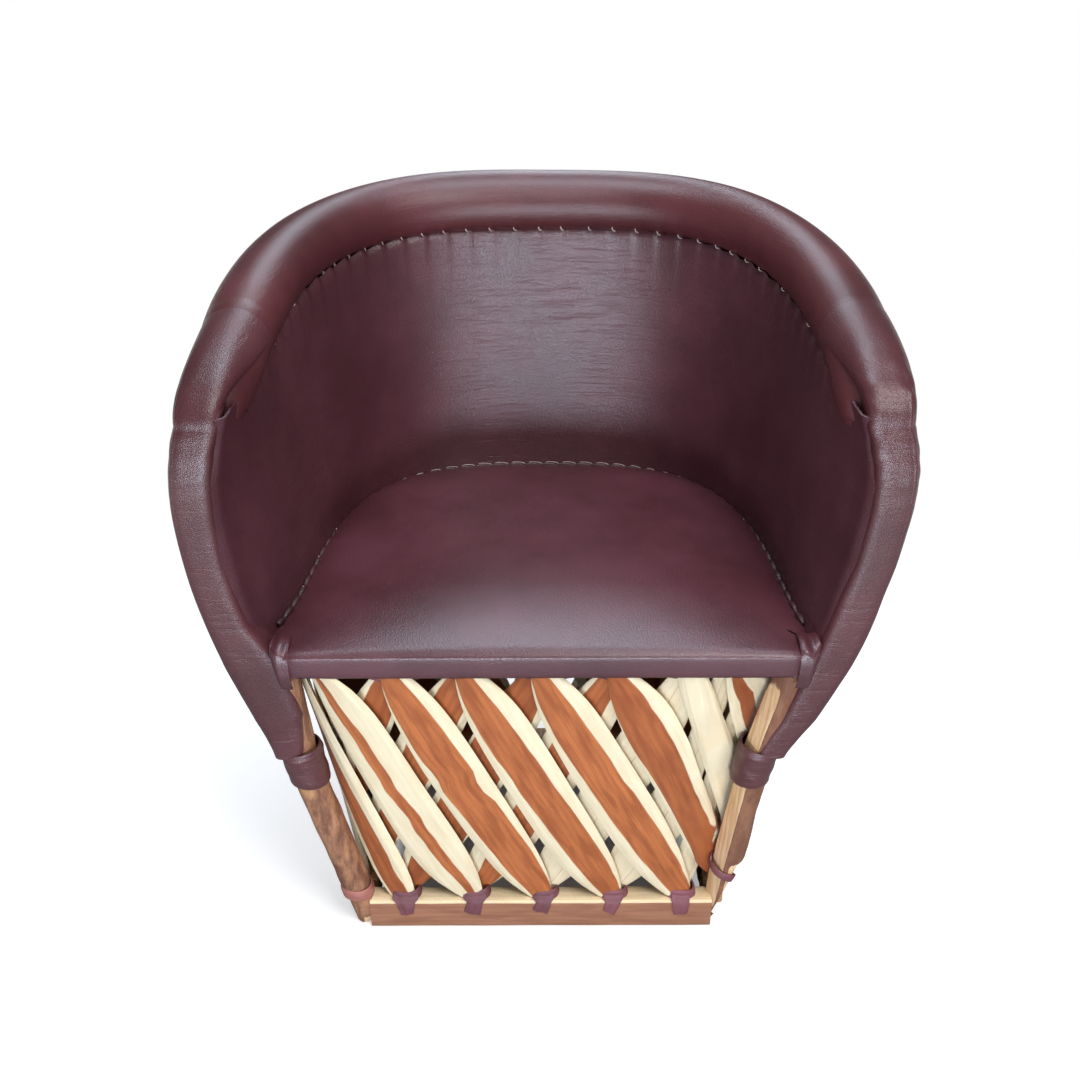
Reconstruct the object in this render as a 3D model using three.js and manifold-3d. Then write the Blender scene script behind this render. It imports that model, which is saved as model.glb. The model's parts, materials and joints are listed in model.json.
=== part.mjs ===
// Equipale: a leather barrel chair on a drum of crossed wooden slats.
// Millimetres, +Z up, the sitter faces -Y. The origin is on the floor, in the middle of the outline.
// Inside this file y is counted from the seat's front face, and the whole chair is centred at the end.

import * as THREE from 'three';
import { mergeVertices } from 'three/addons/utils/BufferGeometryUtils.js';
import Module from 'manifold-3d';

const wasm = await Module();
wasm.setup();

// General fits
const GAP = 0.3;              // left between pieces that touch
const OVERRUN = 6;            // how far a cutter runs past what it cuts
const HIDE = 3.5;             // leather with its backing
const POLE_SIDES = 10;
const LIMB_SIDES = 12;
const ROD_SIDES = 8;

// Seat
const SEAT_HEIGHT = 440;      // top edge of the seat's front face
const SEAT_FRONT_HALF = 262;  // half the width of that face
const SEAT_DEPTH = 438;       // front face to the back seam
const SEAT_FACE = 28;         // height of the front face
const SEAT_CROWN = 24;        // rise of the pad's middle over its edge
const PAD_EDGE = 13;          // pad thickness at the seam
const PAD_CROWN_POWER = 3.2;  // how flat the pad's top is
const PAD_RING_SHARES = [1, 0.97, 0.91, 0.82, 0.68, 0.45];
const PAD_FRONT_SHARES = [-1, -0.5, 0, 0.5, 1];
const PLAN_POWER = 2.95;      // squareness of every U-shaped outline
const PLAN_END_SHARE = 0.004; // nearest to its ends that an outline's direction is read

// Seat ring: a bent pole with a straight rail across the front
const RING_RADIUS = 14;
const RING_REACH = 6.5;       // from the seat's side to the pole's centre line
const RING_SINK = 3;          // from the pad's foot down to the pole's shoulder
const RING_FRONT = 16;        // where its two ends stop behind the front face
const RING_SHOULDER_SHARE = 0.7;  // height on the pole, of its radius, where the pad starts
const RAIL_DEPTH = 24;        // seat front rail, front to back
const RAIL_ROUND = 5;         // rounding of the rails' edges

// Front plane: it leans forward from the feet to the shoulders
const FRONT_FOOT_Y = 80;
const FRONT_TOP_Y = 9;
const ARM_RISE = 200;         // from the seat to the shoulders

// Legs: two branches from the floor to the seat ring
const LEG_REACH = 4;          // from the seat's side to a leg's top
const LEG_SPLAY = 54;         // how much nearer the middle a leg's foot stands
const LEG_FOOT_RADIUS = 14;
const LEG_RADIUS = 18.5;
const LEG_TOP_RADIUS = 16.5;
const SWAY = 16;              // how far the legs lean together to one side at the cuff
const LEG_HEIGHT_SHARES = [0, 0.14, 0.37, 0.62, 0.8, 1];
const LEG_SPREAD_SHARES = [0, 0.13, 0.38, 0.66, 0.83, 1];
const LEG_SWAY_SHARES = [0.31, 0.45, 0.72, 1, 0.75, 0.4];
const LEG_STATION_SHARES = [0, 0.09, 0.2, 0.35, 0.5, 0.62, 0.75, 0.88, 1];

// Base: a sawn rail across the front and a bent hoop behind it
const BASE_HEIGHT = 41;
const BASE_RAIL_DEPTH = 26;
const BASE_RAIL_LEAD = 19.5;  // from a leg's middle forward to the rail's face
const BASE_RAIL_INSET = 6;    // from a leg's middle in to the rail's end
const BASE_SET_IN = 50;       // how far the hoop's back stands inside the seat's
const BASE_HOOP_DEPTH = 25;
const BASE_SHIFT = 5;         // the base stands this far to the chair's right hand

// Arms: a bowed stile in a leather band, from the cuff to the shoulder
const BAND_DROP = 160;          // from the seat down to the band's foot
const BAND_SHOULDER = 64;       // from the arm's height up to the band's top
const BAND_SWELL = 64.5;        // how far the band bows out from its foot
const BAND_WIDTH = 43;
const BAND_FOOT_WIDTH = 30;
const BAND_DEPTH = 42;
const BAND_TURN = 18;           // how far the shoulder rolls back at its top
const BAND_HEIGHT_SHARES = [0, 0.06, 0.14, 0.25, 0.35, 0.44, 0.53, 0.61, 0.7, 0.78, 0.86, 0.93, 1];
const BAND_SPREAD_SHARES = [0, 0.1, 0.3, 0.505, 0.67, 0.79, 0.88, 0.95, 0.99, 1, 0.96, 0.87, 0.73];
const BAND_SWAY_SHARES = [1, 0.84, 0.6, 0.44, 0.34, 0.31, 0.31, 0.22, 0.15, 0.06, 0, 0, 0];
const BAND_TURN_SHARES = [0, 0, 0, 0, 0, 0, 0, 0, 0, 0, 0.12, 0.45, 1];
const BAND_CORNER_SHARE = 0.62;  // flat part of the band's faces
const BAND_BOW_SHARE = 1.06;     // its front face bows out a little
const STILE_RADIUS = 12;
const STILE_DROP = 68;          // from the seat down to the stile's foot
const STILE_TOP_DROP = 36;      // from the band's top down to the stile's
const STILE_SHARES = [0, 0.2, 0.4, 0.6, 0.8, 1];
const CUFF_HEIGHT = 40;
const CUFF_WALL = 3;

// Rim: a bent rod in a padded leather roll, with a drooping nose at each arm
const RIM_REACH = 42.6;         // wider than the seat on each side
const RIM_REACH_BACK = 35;
const RIM_OVER_ARM = 4;
const BACK_RISE = 323;          // from the seat to the rim's middle line at the back
const RIM_RISE_POWER = 0.3;
const ROLL_RADIUS = 36;
const NOSE_REACH = 21;          // from the seat's side out to the nose's tip
const NOSE_SET_BACK = 25;
const NOSE_DROP = 12;
const NOSE_ACROSS_SHARES = [0, 0, 0.4, 0.92];  // from the nose's tip to the rim's first station
const NOSE_BACK_SHARES = [0, 0, 0.08, 0.36];
const NOSE_RISE_SHARES = [0, 0.25, 0.56, 0.8];
const NOSE_RADIUS_SHARES = [0.22, 0.42, 0.58, 0.8];
const TOP_ROD_RADIUS = 11;
const TOP_ROD_OUT = 8;          // the rod runs outside the roll's middle
const ROLL_BODY_START_SHARE = 0.085;  // where the full rim formula begins, of its length
const ROLL_SWELL_SHARES = [0.94, 0.98];  // the roll fills out over its first body stations

// Walls: the lining inside and the cover outside
const LINING_LEAN = 15;         // how much wider the lining is at the rim than at the seat
const LINING_LEAN_BACK = 14;
const LINING_LEAD = 5.25;       // how far in front of the bands' middle it starts
const LINING_SHOULDER = 32;     // its top edge beside the shoulders, over the arm's height
const COVER_SLOPE_SIDE = 47;    // how much wider the cover is at the rim than at the ring
const COVER_SLOPE_BACK = 42;
const FLARE_LENGTH = 62;        // how soon the walls leave the bowed arm and run straight
const COVER_DROP = 42;          // from the seat down to its hem
const COVER_SHOULDER = 46;      // its top edge beside the shoulders, over the arm's height
const COVER_DIP = 92;           // how far its hem dips towards the cuffs
const COVER_DIP_LENGTH = 55;
const UPRIGHT_RADIUS = 7.5;
const UPRIGHT_PLACE_SHARES = [0.33, 0.445, 0.555, 0.67];

// Slats
const SLAT_COUNT = 17;
const SLAT_TIP_WIDTH = 30;
const SLAT_THICKNESS = 8.5;
const SLAT_LAYER_GAP = 3;       // between the outer and the inner layer
const SLAT_STEP = 2;            // ties passed over between a slat's two ends
const SLAT_FILL_SHARE = 0.92;   // how much of its pitch a slat fills at mid height
const SLAT_VARY_SHARE = 0.03;
const SLAT_VARY_STEP = 2.4;     // radians from one slat to the next
const SLAT_BEND_LIMIT = 0.25;   // slats that turn more than this get a ridge down the middle
const FRONT_TIE_COUNT = 5;
const TIE_ROOM = 31;            // seat's side to where a sixth front tie would be
const TIE_FOOT_ROOM = 46;       // leg's foot to the front rail's last tie
const CORNER_ROOM_RIGHT = 37;   // the sitter's right; the other leg leans in and needs more room
const CORNER_ROOM_LEFT = 70;
const CORNER_TOP_BACK = 8;      // the left one stands back from the front row
const CORNER_FOOT_BACK = 41;    // from a leg's middle back to the hoop's first tie
const RING_LEAD = 76;           // from the ring's ends to its first ties
const TIE_STEP_SHARE = 0.35;    // reach over which the drum's direction is read, of a tie's pitch
const PITCH_STEP_SHARE = 0.2;   // and its pitch
const SLAT_LENS_POWER = 5;      // how blunt the slats' ends are
const SLAT_CHAMFER_SHARE = 0.68;  // flat part of a slat's width
const SLAT_STATION_SHARES = [0, 0.06, 0.16, 0.32, 0.5, 0.68, 0.84, 0.94, 1];

// Thongs that hold the slats to the front rail
const THONG_WIDTH = 22;
const THONG = 2;
const THONG_SLOT_Z = 18;
const THONG_RISE = 13;          // how far a thong reaches up the slats' feet in front
const THONG_BACK_RISE = 6;      // and behind them
const THONG_SLACK = 2.7;        // left between a thong's ends and the slats' feet

// Widths that follow from the seat's
const RING_HALF = SEAT_FRONT_HALF + RING_REACH;
const LEG_TOP_HALF = SEAT_FRONT_HALF + LEG_REACH;
const LEG_FOOT_HALF = LEG_TOP_HALF - LEG_SPLAY;
const BASE_RAIL_HALF = LEG_FOOT_HALF - BASE_RAIL_INSET;
const BAND_FOOT_HALF = SEAT_FRONT_HALF;
const RIM_HALF = SEAT_FRONT_HALF + RIM_REACH;
const NOSE_HALF = SEAT_FRONT_HALF + NOSE_REACH;
const LINING_RIM_HALF = SEAT_FRONT_HALF + LINING_LEAN;
const CORNER_TIE_COUNT = (FRONT_TIE_COUNT + 1) / 2;  // ties from the middle one to a corner
const FRONT_TOP_PITCH = (SEAT_FRONT_HALF - TIE_ROOM) / CORNER_TIE_COUNT;
const FRONT_FOOT_PITCH = (LEG_FOOT_HALF - TIE_FOOT_ROOM) / (CORNER_TIE_COUNT - 1);
const CORNER_TOP_RIGHT = SEAT_FRONT_HALF - CORNER_ROOM_RIGHT;
const CORNER_TOP_LEFT = SEAT_FRONT_HALF - CORNER_ROOM_LEFT;

// Depths that follow from the seat's and from the front plane
const RING_BACK = SEAT_DEPTH + RING_RADIUS / 2;
const BASE_BACK = SEAT_DEPTH - BASE_SET_IN;
const BASE_RAIL_FRONT = FRONT_FOOT_Y - BASE_RAIL_LEAD;
const BASE_HOOP_FRONT = FRONT_FOOT_Y + LEG_RADIUS + GAP;
const CORNER_FOOT_Y = FRONT_FOOT_Y + CORNER_FOOT_BACK;
const RIM_FRONT = FRONT_TOP_Y + GAP;
const RIM_BACK = SEAT_DEPTH + RIM_REACH_BACK;
const NOSE_Y = FRONT_TOP_Y + NOSE_SET_BACK;
const LINING_RIM_BACK = SEAT_DEPTH + LINING_LEAN_BACK;
const SLAT_FRONT_TOP_Y = HIDE + GAP + RAIL_DEPTH / 2;
const SLAT_FRONT_FOOT_Y = BASE_RAIL_FRONT + BASE_RAIL_DEPTH / 2 + THONG;
const SLAT_OFFSET = (SLAT_THICKNESS + SLAT_LAYER_GAP) / 2;

// Heights that follow from the seat's
const RING_Z = SEAT_HEIGHT - PAD_EDGE - RING_SINK - RING_RADIUS / 2;
const PAD_FOOT_Z = RING_Z + RING_RADIUS * RING_SHOULDER_SHARE;
const LIP_FOOT_Z = SEAT_HEIGHT - SEAT_FACE;
const ARM_HEIGHT = SEAT_HEIGHT + ARM_RISE;
const BAND_FOOT_Z = SEAT_HEIGHT - BAND_DROP;
const BAND_TOP_Z = ARM_HEIGHT + BAND_SHOULDER;
const CUFF_FOOT_Z = BAND_FOOT_Z - CUFF_HEIGHT;
const STILE_FOOT_Z = SEAT_HEIGHT - STILE_DROP;
const STILE_TOP_Z = BAND_TOP_Z - STILE_TOP_DROP;
const RIM_ARM_Z = ARM_HEIGHT + RIM_OVER_ARM;
const RIM_BACK_Z = SEAT_HEIGHT + BACK_RISE;
const NOSE_Z = RIM_ARM_Z - NOSE_DROP;
const LINING_FRONT_TOP_Z = ARM_HEIGHT + LINING_SHOULDER;
const COVER_FOOT_Z = SEAT_HEIGHT - COVER_DROP;
const COVER_FRONT_TOP_Z = ARM_HEIGHT + COVER_SHOULDER;
const SLAT_FOOT_Z = BASE_HEIGHT + GAP;
const SLAT_TOP_FRONT_Z = LIP_FOOT_Z - GAP;
const SLAT_TOP_RING_Z = RING_Z - RING_RADIUS - GAP;

// Finishes
const finish = (color, roughness) => new THREE.MeshStandardMaterial({ color, roughness, metalness: 0 });
const LEATHER = finish(0x4a2b2f, 0.5);
const THONG_LEATHER = finish(0x5a3038, 0.7);
const HEARTWOOD = finish(0xa9613a, 0.6);
const SAPWOOD = finish(0xe0c79a, 0.6);
const BARK = finish(0x7d5436, 0.85);
const POLE = finish(0xb98d5e, 0.7);

// Boolean work on closed meshes

function toSolid(geometry) {
  const bare = geometry.clone();
  bare.deleteAttribute('normal');
  bare.deleteAttribute('uv');
  const merged = mergeVertices(bare);
  return new wasm.Manifold(new wasm.Mesh({
    numProp: 3,
    vertProperties: new Float32Array(merged.attributes.position.array),
    triVerts: new Uint32Array(merged.index.array),
  }));
}

function toGeometry(solid) {
  const mesh = solid.getMesh();
  const geometry = new THREE.BufferGeometry();
  geometry.setAttribute('position', new THREE.BufferAttribute(new Float32Array(mesh.vertProperties), 3));
  geometry.setIndex(new THREE.BufferAttribute(new Uint32Array(mesh.triVerts), 1));
  geometry.computeVertexNormals();
  return geometry;
}

// The largest body that is left of a solid after the cutters have gone through it.
function cut(geometry, ...cutters) {
  let solid = toSolid(geometry);
  for (const cutter of cutters) {
    solid = solid.subtract(toSolid(cutter));
  }
  const bodies = solid.decompose().sort((a, b) => b.volume() - a.volume());
  return toGeometry(bodies[0]);
}

function join(...geometries) {
  let solid = toSolid(geometries[0]);
  for (const geometry of geometries.slice(1)) {
    solid = solid.add(toSolid(geometry));
  }
  return toGeometry(solid);
}

// Lofts and sheets

function meshFrom(points, faces) {
  let volume = 0;
  for (const [a, b, c] of faces) {
    volume += points[a].dot(points[b].clone().cross(points[c]));
  }
  const geometry = new THREE.BufferGeometry().setFromPoints(points);
  const ordered = volume > 0 ? faces : faces.map(([a, b, c]) => [a, c, b]);
  geometry.setIndex(ordered.flat());
  geometry.computeVertexNormals();
  return geometry;
}

// A solid through a row of closed sections with the same number of points.
function loft(sections) {
  const count = sections[0].length;
  const points = sections.flat();
  const faces = [];
  for (let i = 0; i + 1 < sections.length; i += 1) {
    for (let j = 0; j < count; j += 1) {
      const a = i * count + j;
      const b = i * count + (j + 1) % count;
      faces.push([a, b, b + count], [a, b + count, a + count]);
    }
  }
  for (const [section, turn] of [[0, false], [sections.length - 1, true]]) {
    const middle = new THREE.Vector3();
    for (const point of sections[section]) {
      middle.addScaledVector(point, 1 / count);
    }
    const hub = points.push(middle) - 1;
    for (let j = 0; j < count; j += 1) {
      const a = section * count + j;
      const b = section * count + (j + 1) % count;
      faces.push(turn ? [hub, a, b] : [hub, b, a]);
    }
  }
  return meshFrom(points, faces);
}

// A closed sheet between two grids of points, indexed [row][column].
function sheet(near, far) {
  const rows = near.length;
  const columns = near[0].length;
  const points = [...near.flat(), ...far.flat()];
  const side = rows * columns;
  const at = (row, column) => row * columns + column;
  const faces = [];
  const quad = (a, b, c, d) => faces.push([a, b, c], [a, c, d]);
  for (let r = 0; r + 1 < rows; r += 1) {
    for (let c = 0; c + 1 < columns; c += 1) {
      quad(at(r, c), at(r, c + 1), at(r + 1, c + 1), at(r + 1, c));
      quad(side + at(r, c), side + at(r + 1, c), side + at(r + 1, c + 1), side + at(r, c + 1));
    }
  }
  for (let c = 0; c + 1 < columns; c += 1) {
    quad(at(0, c), side + at(0, c), side + at(0, c + 1), at(0, c + 1));
    const last = rows - 1;
    quad(at(last, c), at(last, c + 1), side + at(last, c + 1), side + at(last, c));
  }
  for (let r = 0; r + 1 < rows; r += 1) {
    quad(at(r, 0), at(r + 1, 0), side + at(r + 1, 0), side + at(r, 0));
    const last = columns - 1;
    quad(at(r, last), side + at(r, last), side + at(r + 1, last), at(r + 1, last));
  }
  return meshFrom(points, faces);
}

// A round section square to a path, kept upright by an outward direction.
function circleAt(centre, along, outward, radius, sides) {
  const x = outward.clone().addScaledVector(along, -outward.dot(along)).normalize();
  const y = new THREE.Vector3().crossVectors(along, x);
  return Array.from({ length: sides }, (_, i) => {
    const angle = (2 * Math.PI * i) / sides;
    return centre.clone()
      .addScaledVector(x, radius * Math.cos(angle))
      .addScaledVector(y, radius * Math.sin(angle));
  });
}

function tube(points, radius, steps, sides) {
  const curve = points.length > 2
    ? new THREE.CatmullRomCurve3(points)
    : new THREE.LineCurve3(points[0], points[1]);
  const section = new THREE.Shape(Array.from({ length: sides }, (_, i) => {
    const angle = (2 * Math.PI * i) / sides;
    return new THREE.Vector2(radius * Math.cos(angle), radius * Math.sin(angle));
  }));
  return new THREE.ExtrudeGeometry(section, { extrudePath: curve, steps, bevelEnabled: false });
}

// A value between neighbouring shares of a table, smoothly.
function along(table, position) {
  const last = table.length - 1;
  const at = THREE.MathUtils.clamp(position, 0, 1) * last;
  const low = Math.min(Math.floor(at), last - 1);
  const pick = (i) => table[THREE.MathUtils.clamp(i, 0, last)];
  const t = at - low;
  const [a, b, c, d] = [pick(low - 1), pick(low), pick(low + 1), pick(low + 2)];
  const bend = (2 * a - 5 * b + 4 * c - d) * t * t + (3 * b - a - 3 * c + d) * t ** 3;
  return b + ((c - a) * t + bend) / 2;
}

// The place of a share between uneven stations, as a share of even ones.
function stationOf(stations, share) {
  const value = THREE.MathUtils.clamp(share, 0, 1);
  let i = 0;
  while (i < stations.length - 2 && stations[i + 1] < value) {
    i += 1;
  }
  const part = (value - stations[i]) / (stations[i + 1] - stations[i]);
  return (i + part) / (stations.length - 1);
}

// The U-shaped outline that every level of the barrel follows, from its right end to its left.
class PlanCurve extends THREE.Curve {
  constructor(half, front, back) {
    super();
    this.half = half;
    this.front = front;
    this.depth = back - front;
    this.arcLengthDivisions = 400;
  }

  getPoint(t, target = new THREE.Vector3()) {
    const angle = Math.PI * THREE.MathUtils.clamp(t, 0, 1);
    const across = Math.sign(Math.cos(angle)) * Math.abs(Math.cos(angle)) ** (2 / PLAN_POWER);
    const deep = Math.abs(Math.sin(angle)) ** (2 / PLAN_POWER);
    return target.set(this.half * across, this.front + this.depth * deep, 0);
  }

  outwardAt(share) {
    const run = this.getTangentAt(share);
    return new THREE.Vector3(run.y, -run.x, 0).normalize();
  }
}

const frontPlane = (z) => FRONT_FOOT_Y + (FRONT_TOP_Y - FRONT_FOOT_Y) * (z / ARM_HEIGHT);

// Centre of a leg at a height. side is 1 on the +X side and -1 on the other.
function legAt(side, z) {
  const station = stationOf(LEG_HEIGHT_SHARES, z / RING_Z);
  const half = LEG_FOOT_HALF + LEG_SPLAY * along(LEG_SPREAD_SHARES, station);
  return new THREE.Vector3(side * half - SWAY * along(LEG_SWAY_SHARES, station), frontPlane(z), z);
}

// Centre of an arm's leather band at a height.
function bandAt(side, z) {
  const share = (z - BAND_FOOT_Z) / (BAND_TOP_Z - BAND_FOOT_Z);
  const station = stationOf(BAND_HEIGHT_SHARES, share);
  const half = BAND_FOOT_HALF + BAND_SWELL * along(BAND_SPREAD_SHARES, station);
  const y = frontPlane(Math.min(z, ARM_HEIGHT)) + BAND_TURN * along(BAND_TURN_SHARES, station);
  return new THREE.Vector3(side * half - SWAY * along(BAND_SWAY_SHARES, station), y, z);
}

function bandHalfWidth(z) {
  const grown = THREE.MathUtils.clamp((z - BAND_FOOT_Z) / (LIP_FOOT_Z - BAND_FOOT_Z), 0, 1);
  return (BAND_FOOT_WIDTH + (BAND_WIDTH - BAND_FOOT_WIDTH) * grown) / 2;
}

// Frame

const seatRingPlan = new PlanCurve(RING_HALF, RING_FRONT, RING_BACK);

function seatRing(grow = 0) {
  const steps = 44;
  const sections = [];
  for (let i = 0; i <= steps; i += 1) {
    const centre = seatRingPlan.getPointAt(i / steps).setZ(RING_Z);
    if (i === 0 || i === steps) {
      centre.y -= grow;
    }
    sections.push(circleAt(centre, seatRingPlan.getTangentAt(i / steps), seatRingPlan.outwardAt(i / steps),
      RING_RADIUS + grow, POLE_SIDES));
  }
  return loft(sections);
}

// A bar along X with rounded edges.
function bar(half, centreX, front, depth, foot, height, round) {
  const outline = new THREE.Shape();
  const inner = { y: depth - round, z: height - round };
  outline.absarc(inner.y, inner.z, round, 0, Math.PI / 2, false);
  outline.absarc(round, inner.z, round, Math.PI / 2, Math.PI, false);
  outline.absarc(round, round, round, Math.PI, 1.5 * Math.PI, false);
  outline.absarc(inner.y, round, round, 1.5 * Math.PI, 2 * Math.PI, false);
  const geometry = new THREE.ExtrudeGeometry(outline, { depth: 2 * half, bevelEnabled: false, curveSegments: 2 });
  geometry.applyMatrix4(new THREE.Matrix4().set(
    0, 0, 1, centreX - half,
    1, 0, 0, front,
    0, 1, 0, foot,
    0, 0, 0, 1,
  ));
  return geometry;
}

function seatFrontRail(grow = 0) {
  const foot = LIP_FOOT_Z + HIDE + GAP - grow;
  const top = PAD_FOOT_Z + grow;
  const half = RING_HALF - RING_RADIUS - GAP + grow;
  return bar(half, 0, HIDE + GAP - grow, RAIL_DEPTH + 2 * grow, foot, top - foot, RAIL_ROUND);
}

function baseRail(grow = 0) {
  const reach = BASE_RAIL_HALF + grow;
  return bar(reach, -BASE_SHIFT, BASE_RAIL_FRONT - grow, BASE_RAIL_DEPTH + 2 * grow,
    -grow, BASE_HEIGHT + 2 * grow, RAIL_ROUND / 2);
}

const tiePlace = (index) => (index - (FRONT_TIE_COUNT - 1) / 2) * FRONT_FOOT_PITCH;

function baseFrontRail() {
  const slots = Array.from({ length: FRONT_TIE_COUNT }, (_, i) => bar(
    THONG_WIDTH / 2 + GAP, tiePlace(i), BASE_RAIL_FRONT - OVERRUN, BASE_RAIL_DEPTH + 2 * OVERRUN,
    THONG_SLOT_Z - GAP, THONG + 2 * GAP, GAP,
  ));
  return cut(baseRail(), ...slots);
}

const baseHoopPlan = new PlanCurve(LEG_FOOT_HALF, BASE_HOOP_FRONT, BASE_BACK);

// The hoop is a bent strip: a rectangle with chamfered edges, swept round the outline.
function baseHoop() {
  const steps = 40;
  const chamfer = RAIL_ROUND / 2;
  const half = BASE_HOOP_DEPTH / 2;
  const profile = [
    [half, chamfer], [half, BASE_HEIGHT - chamfer], [half - chamfer, BASE_HEIGHT], [chamfer - half, BASE_HEIGHT],
    [-half, BASE_HEIGHT - chamfer], [-half, chamfer], [chamfer - half, 0], [half - chamfer, 0],
  ];
  const sections = Array.from({ length: steps + 1 }, (_, i) => {
    const centre = baseHoopPlan.getPointAt(i / steps);
    const outward = baseHoopPlan.outwardAt(i / steps);
    return profile.map(([out, z]) => centre.clone().addScaledVector(outward, out)
      .add(new THREE.Vector3(-BASE_SHIFT, 0, z)));
  });
  return loft(sections);
}

function legRadius(z) {
  const foot = THREE.MathUtils.clamp(z / (2 * BASE_HEIGHT), 0, 1);
  const top = THREE.MathUtils.clamp((z - BAND_FOOT_Z) / (RING_Z - BAND_FOOT_Z), 0, 1);
  return LEG_FOOT_RADIUS + (LEG_RADIUS - LEG_FOOT_RADIUS) * foot + (LEG_TOP_RADIUS - LEG_RADIUS) * top;
}

function legBranch(side, grow = 0) {
  const up = new THREE.Vector3(0, 0, 1);
  const outward = new THREE.Vector3(side, 0, 0);
  return loft(LEG_STATION_SHARES.map((share) => {
    const z = share * RING_Z;
    const end = share === 0 ? -grow : 0;
    const centre = legAt(side, z).setZ(z + end);
    return circleAt(centre, up, outward, legRadius(z) + grow, LIMB_SIDES);
  }));
}

const frontLeg = (side) => cut(legBranch(side), baseRail(GAP), seatRing(GAP), seatFrontRail(GAP));

function stilePath(side) {
  return STILE_SHARES.map((share) => bandAt(side, THREE.MathUtils.lerp(STILE_FOOT_Z, STILE_TOP_Z, share)));
}

function stileRod(side, grow = 0) {
  const path = stilePath(side);
  const up = new THREE.Vector3(0, 0, 1);
  const outward = new THREE.Vector3(side, 0, 0);
  if (grow > 0) {
    path[0].z -= grow;
    path.push(bandAt(side, STILE_TOP_Z).setZ(STILE_TOP_Z + TOP_ROD_RADIUS));
  }
  return loft(path.map((centre) => circleAt(centre, up, outward, STILE_RADIUS + grow, POLE_SIDES)));
}

const armStile = (side) => cut(stileRod(side), legBranch(side, GAP));

// Rim

const rimPlan = new PlanCurve(RIM_HALF, RIM_FRONT, RIM_BACK);

function rimAt(share) {
  const point = rimPlan.getPointAt(share);
  const deep = (point.y - RIM_FRONT) / (RIM_BACK - RIM_FRONT);
  return point.setZ(RIM_ARM_Z + (RIM_BACK_Z - RIM_ARM_Z) * Math.max(deep, 0) ** RIM_RISE_POWER);
}

// Stations of the padded roll: a nose, the rim and the other nose, each with its radius.
function rollStations() {
  const stations = [];
  const steps = 36;
  const start = ROLL_BODY_START_SHARE;
  for (let i = 0; i <= steps; i += 1) {
    const share = start + (1 - 2 * start) * (i / steps);
    const end = Math.min(i, steps - i);
    const fill = end < ROLL_SWELL_SHARES.length ? ROLL_SWELL_SHARES[end] : 1;
    stations.push({ centre: rimAt(share), outward: rimPlan.outwardAt(share), radius: ROLL_RADIUS * fill });
  }
  const nose = (side, first) => {
    const tip = new THREE.Vector3(side * NOSE_HALF, NOSE_Y, NOSE_Z);
    return NOSE_RISE_SHARES.map((rise, i) => ({
      centre: new THREE.Vector3(
        THREE.MathUtils.lerp(tip.x, first.centre.x, NOSE_ACROSS_SHARES[i]),
        THREE.MathUtils.lerp(tip.y, first.centre.y, NOSE_BACK_SHARES[i]),
        THREE.MathUtils.lerp(tip.z, first.centre.z, rise),
      ),
      outward: new THREE.Vector3(side, 0, 0),
      radius: ROLL_RADIUS * NOSE_RADIUS_SHARES[i],
    }));
  };
  return [...nose(1, stations[0]), ...stations, ...nose(-1, stations[steps]).reverse()];
}

function rollOuter(grow = 0) {
  const stations = rollStations();
  return loft(stations.map(({ centre, outward, radius }, i) => {
    const before = stations[Math.max(i - 1, 0)].centre;
    const after = stations[Math.min(i + 1, stations.length - 1)].centre;
    const run = after.clone().sub(before).normalize();
    return circleAt(centre, run, outward, radius + grow, LIMB_SIDES);
  }));
}

function topRod(grow = 0) {
  const ends = (side) => {
    const top = bandAt(side, STILE_TOP_Z);
    top.z = STILE_TOP_Z + GAP + TOP_ROD_RADIUS;
    top.y -= STILE_RADIUS / 2 + grow;
    return top;
  };
  const steps = 22;
  const middle = Array.from({ length: steps + 1 }, (_, i) => {
    const share = ROLL_BODY_START_SHARE + (1 - 2 * ROLL_BODY_START_SHARE) * (i / steps);
    return rimAt(share).addScaledVector(rimPlan.outwardAt(share), TOP_ROD_OUT);
  });
  return tube([ends(1), ...middle, ends(-1)], TOP_ROD_RADIUS + grow, 2 * (steps + 2), ROD_SIDES);
}

function uprightLine(share) {
  const foot = seatRingPlan.getPointAt(share).setZ(RING_Z);
  foot.addScaledVector(seatRingPlan.outwardAt(share), RING_RADIUS - UPRIGHT_RADIUS);
  const head = rimAt(share).addScaledVector(rimPlan.outwardAt(share), TOP_ROD_OUT);
  return [foot, head];
}

function upright(share, grow = 0) {
  const [foot, head] = uprightLine(share);
  const up = head.clone().sub(foot).normalize();
  const outward = seatRingPlan.outwardAt(share);
  return loft([foot, head].map((end) => circleAt(end, up, outward, UPRIGHT_RADIUS + grow, ROD_SIDES)));
}

const backUpright = (share) => cut(upright(share), seatRing(GAP), topRod(GAP));

function rimRoll() {
  const sticks = UPRIGHT_PLACE_SHARES.map((share) => upright(share, GAP));
  return cut(rollOuter(), topRod(GAP), ...sticks);
}

// Walls

const levelShare = (z) => (z - RING_Z) / (RIM_BACK_Z - RING_Z);

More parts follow.
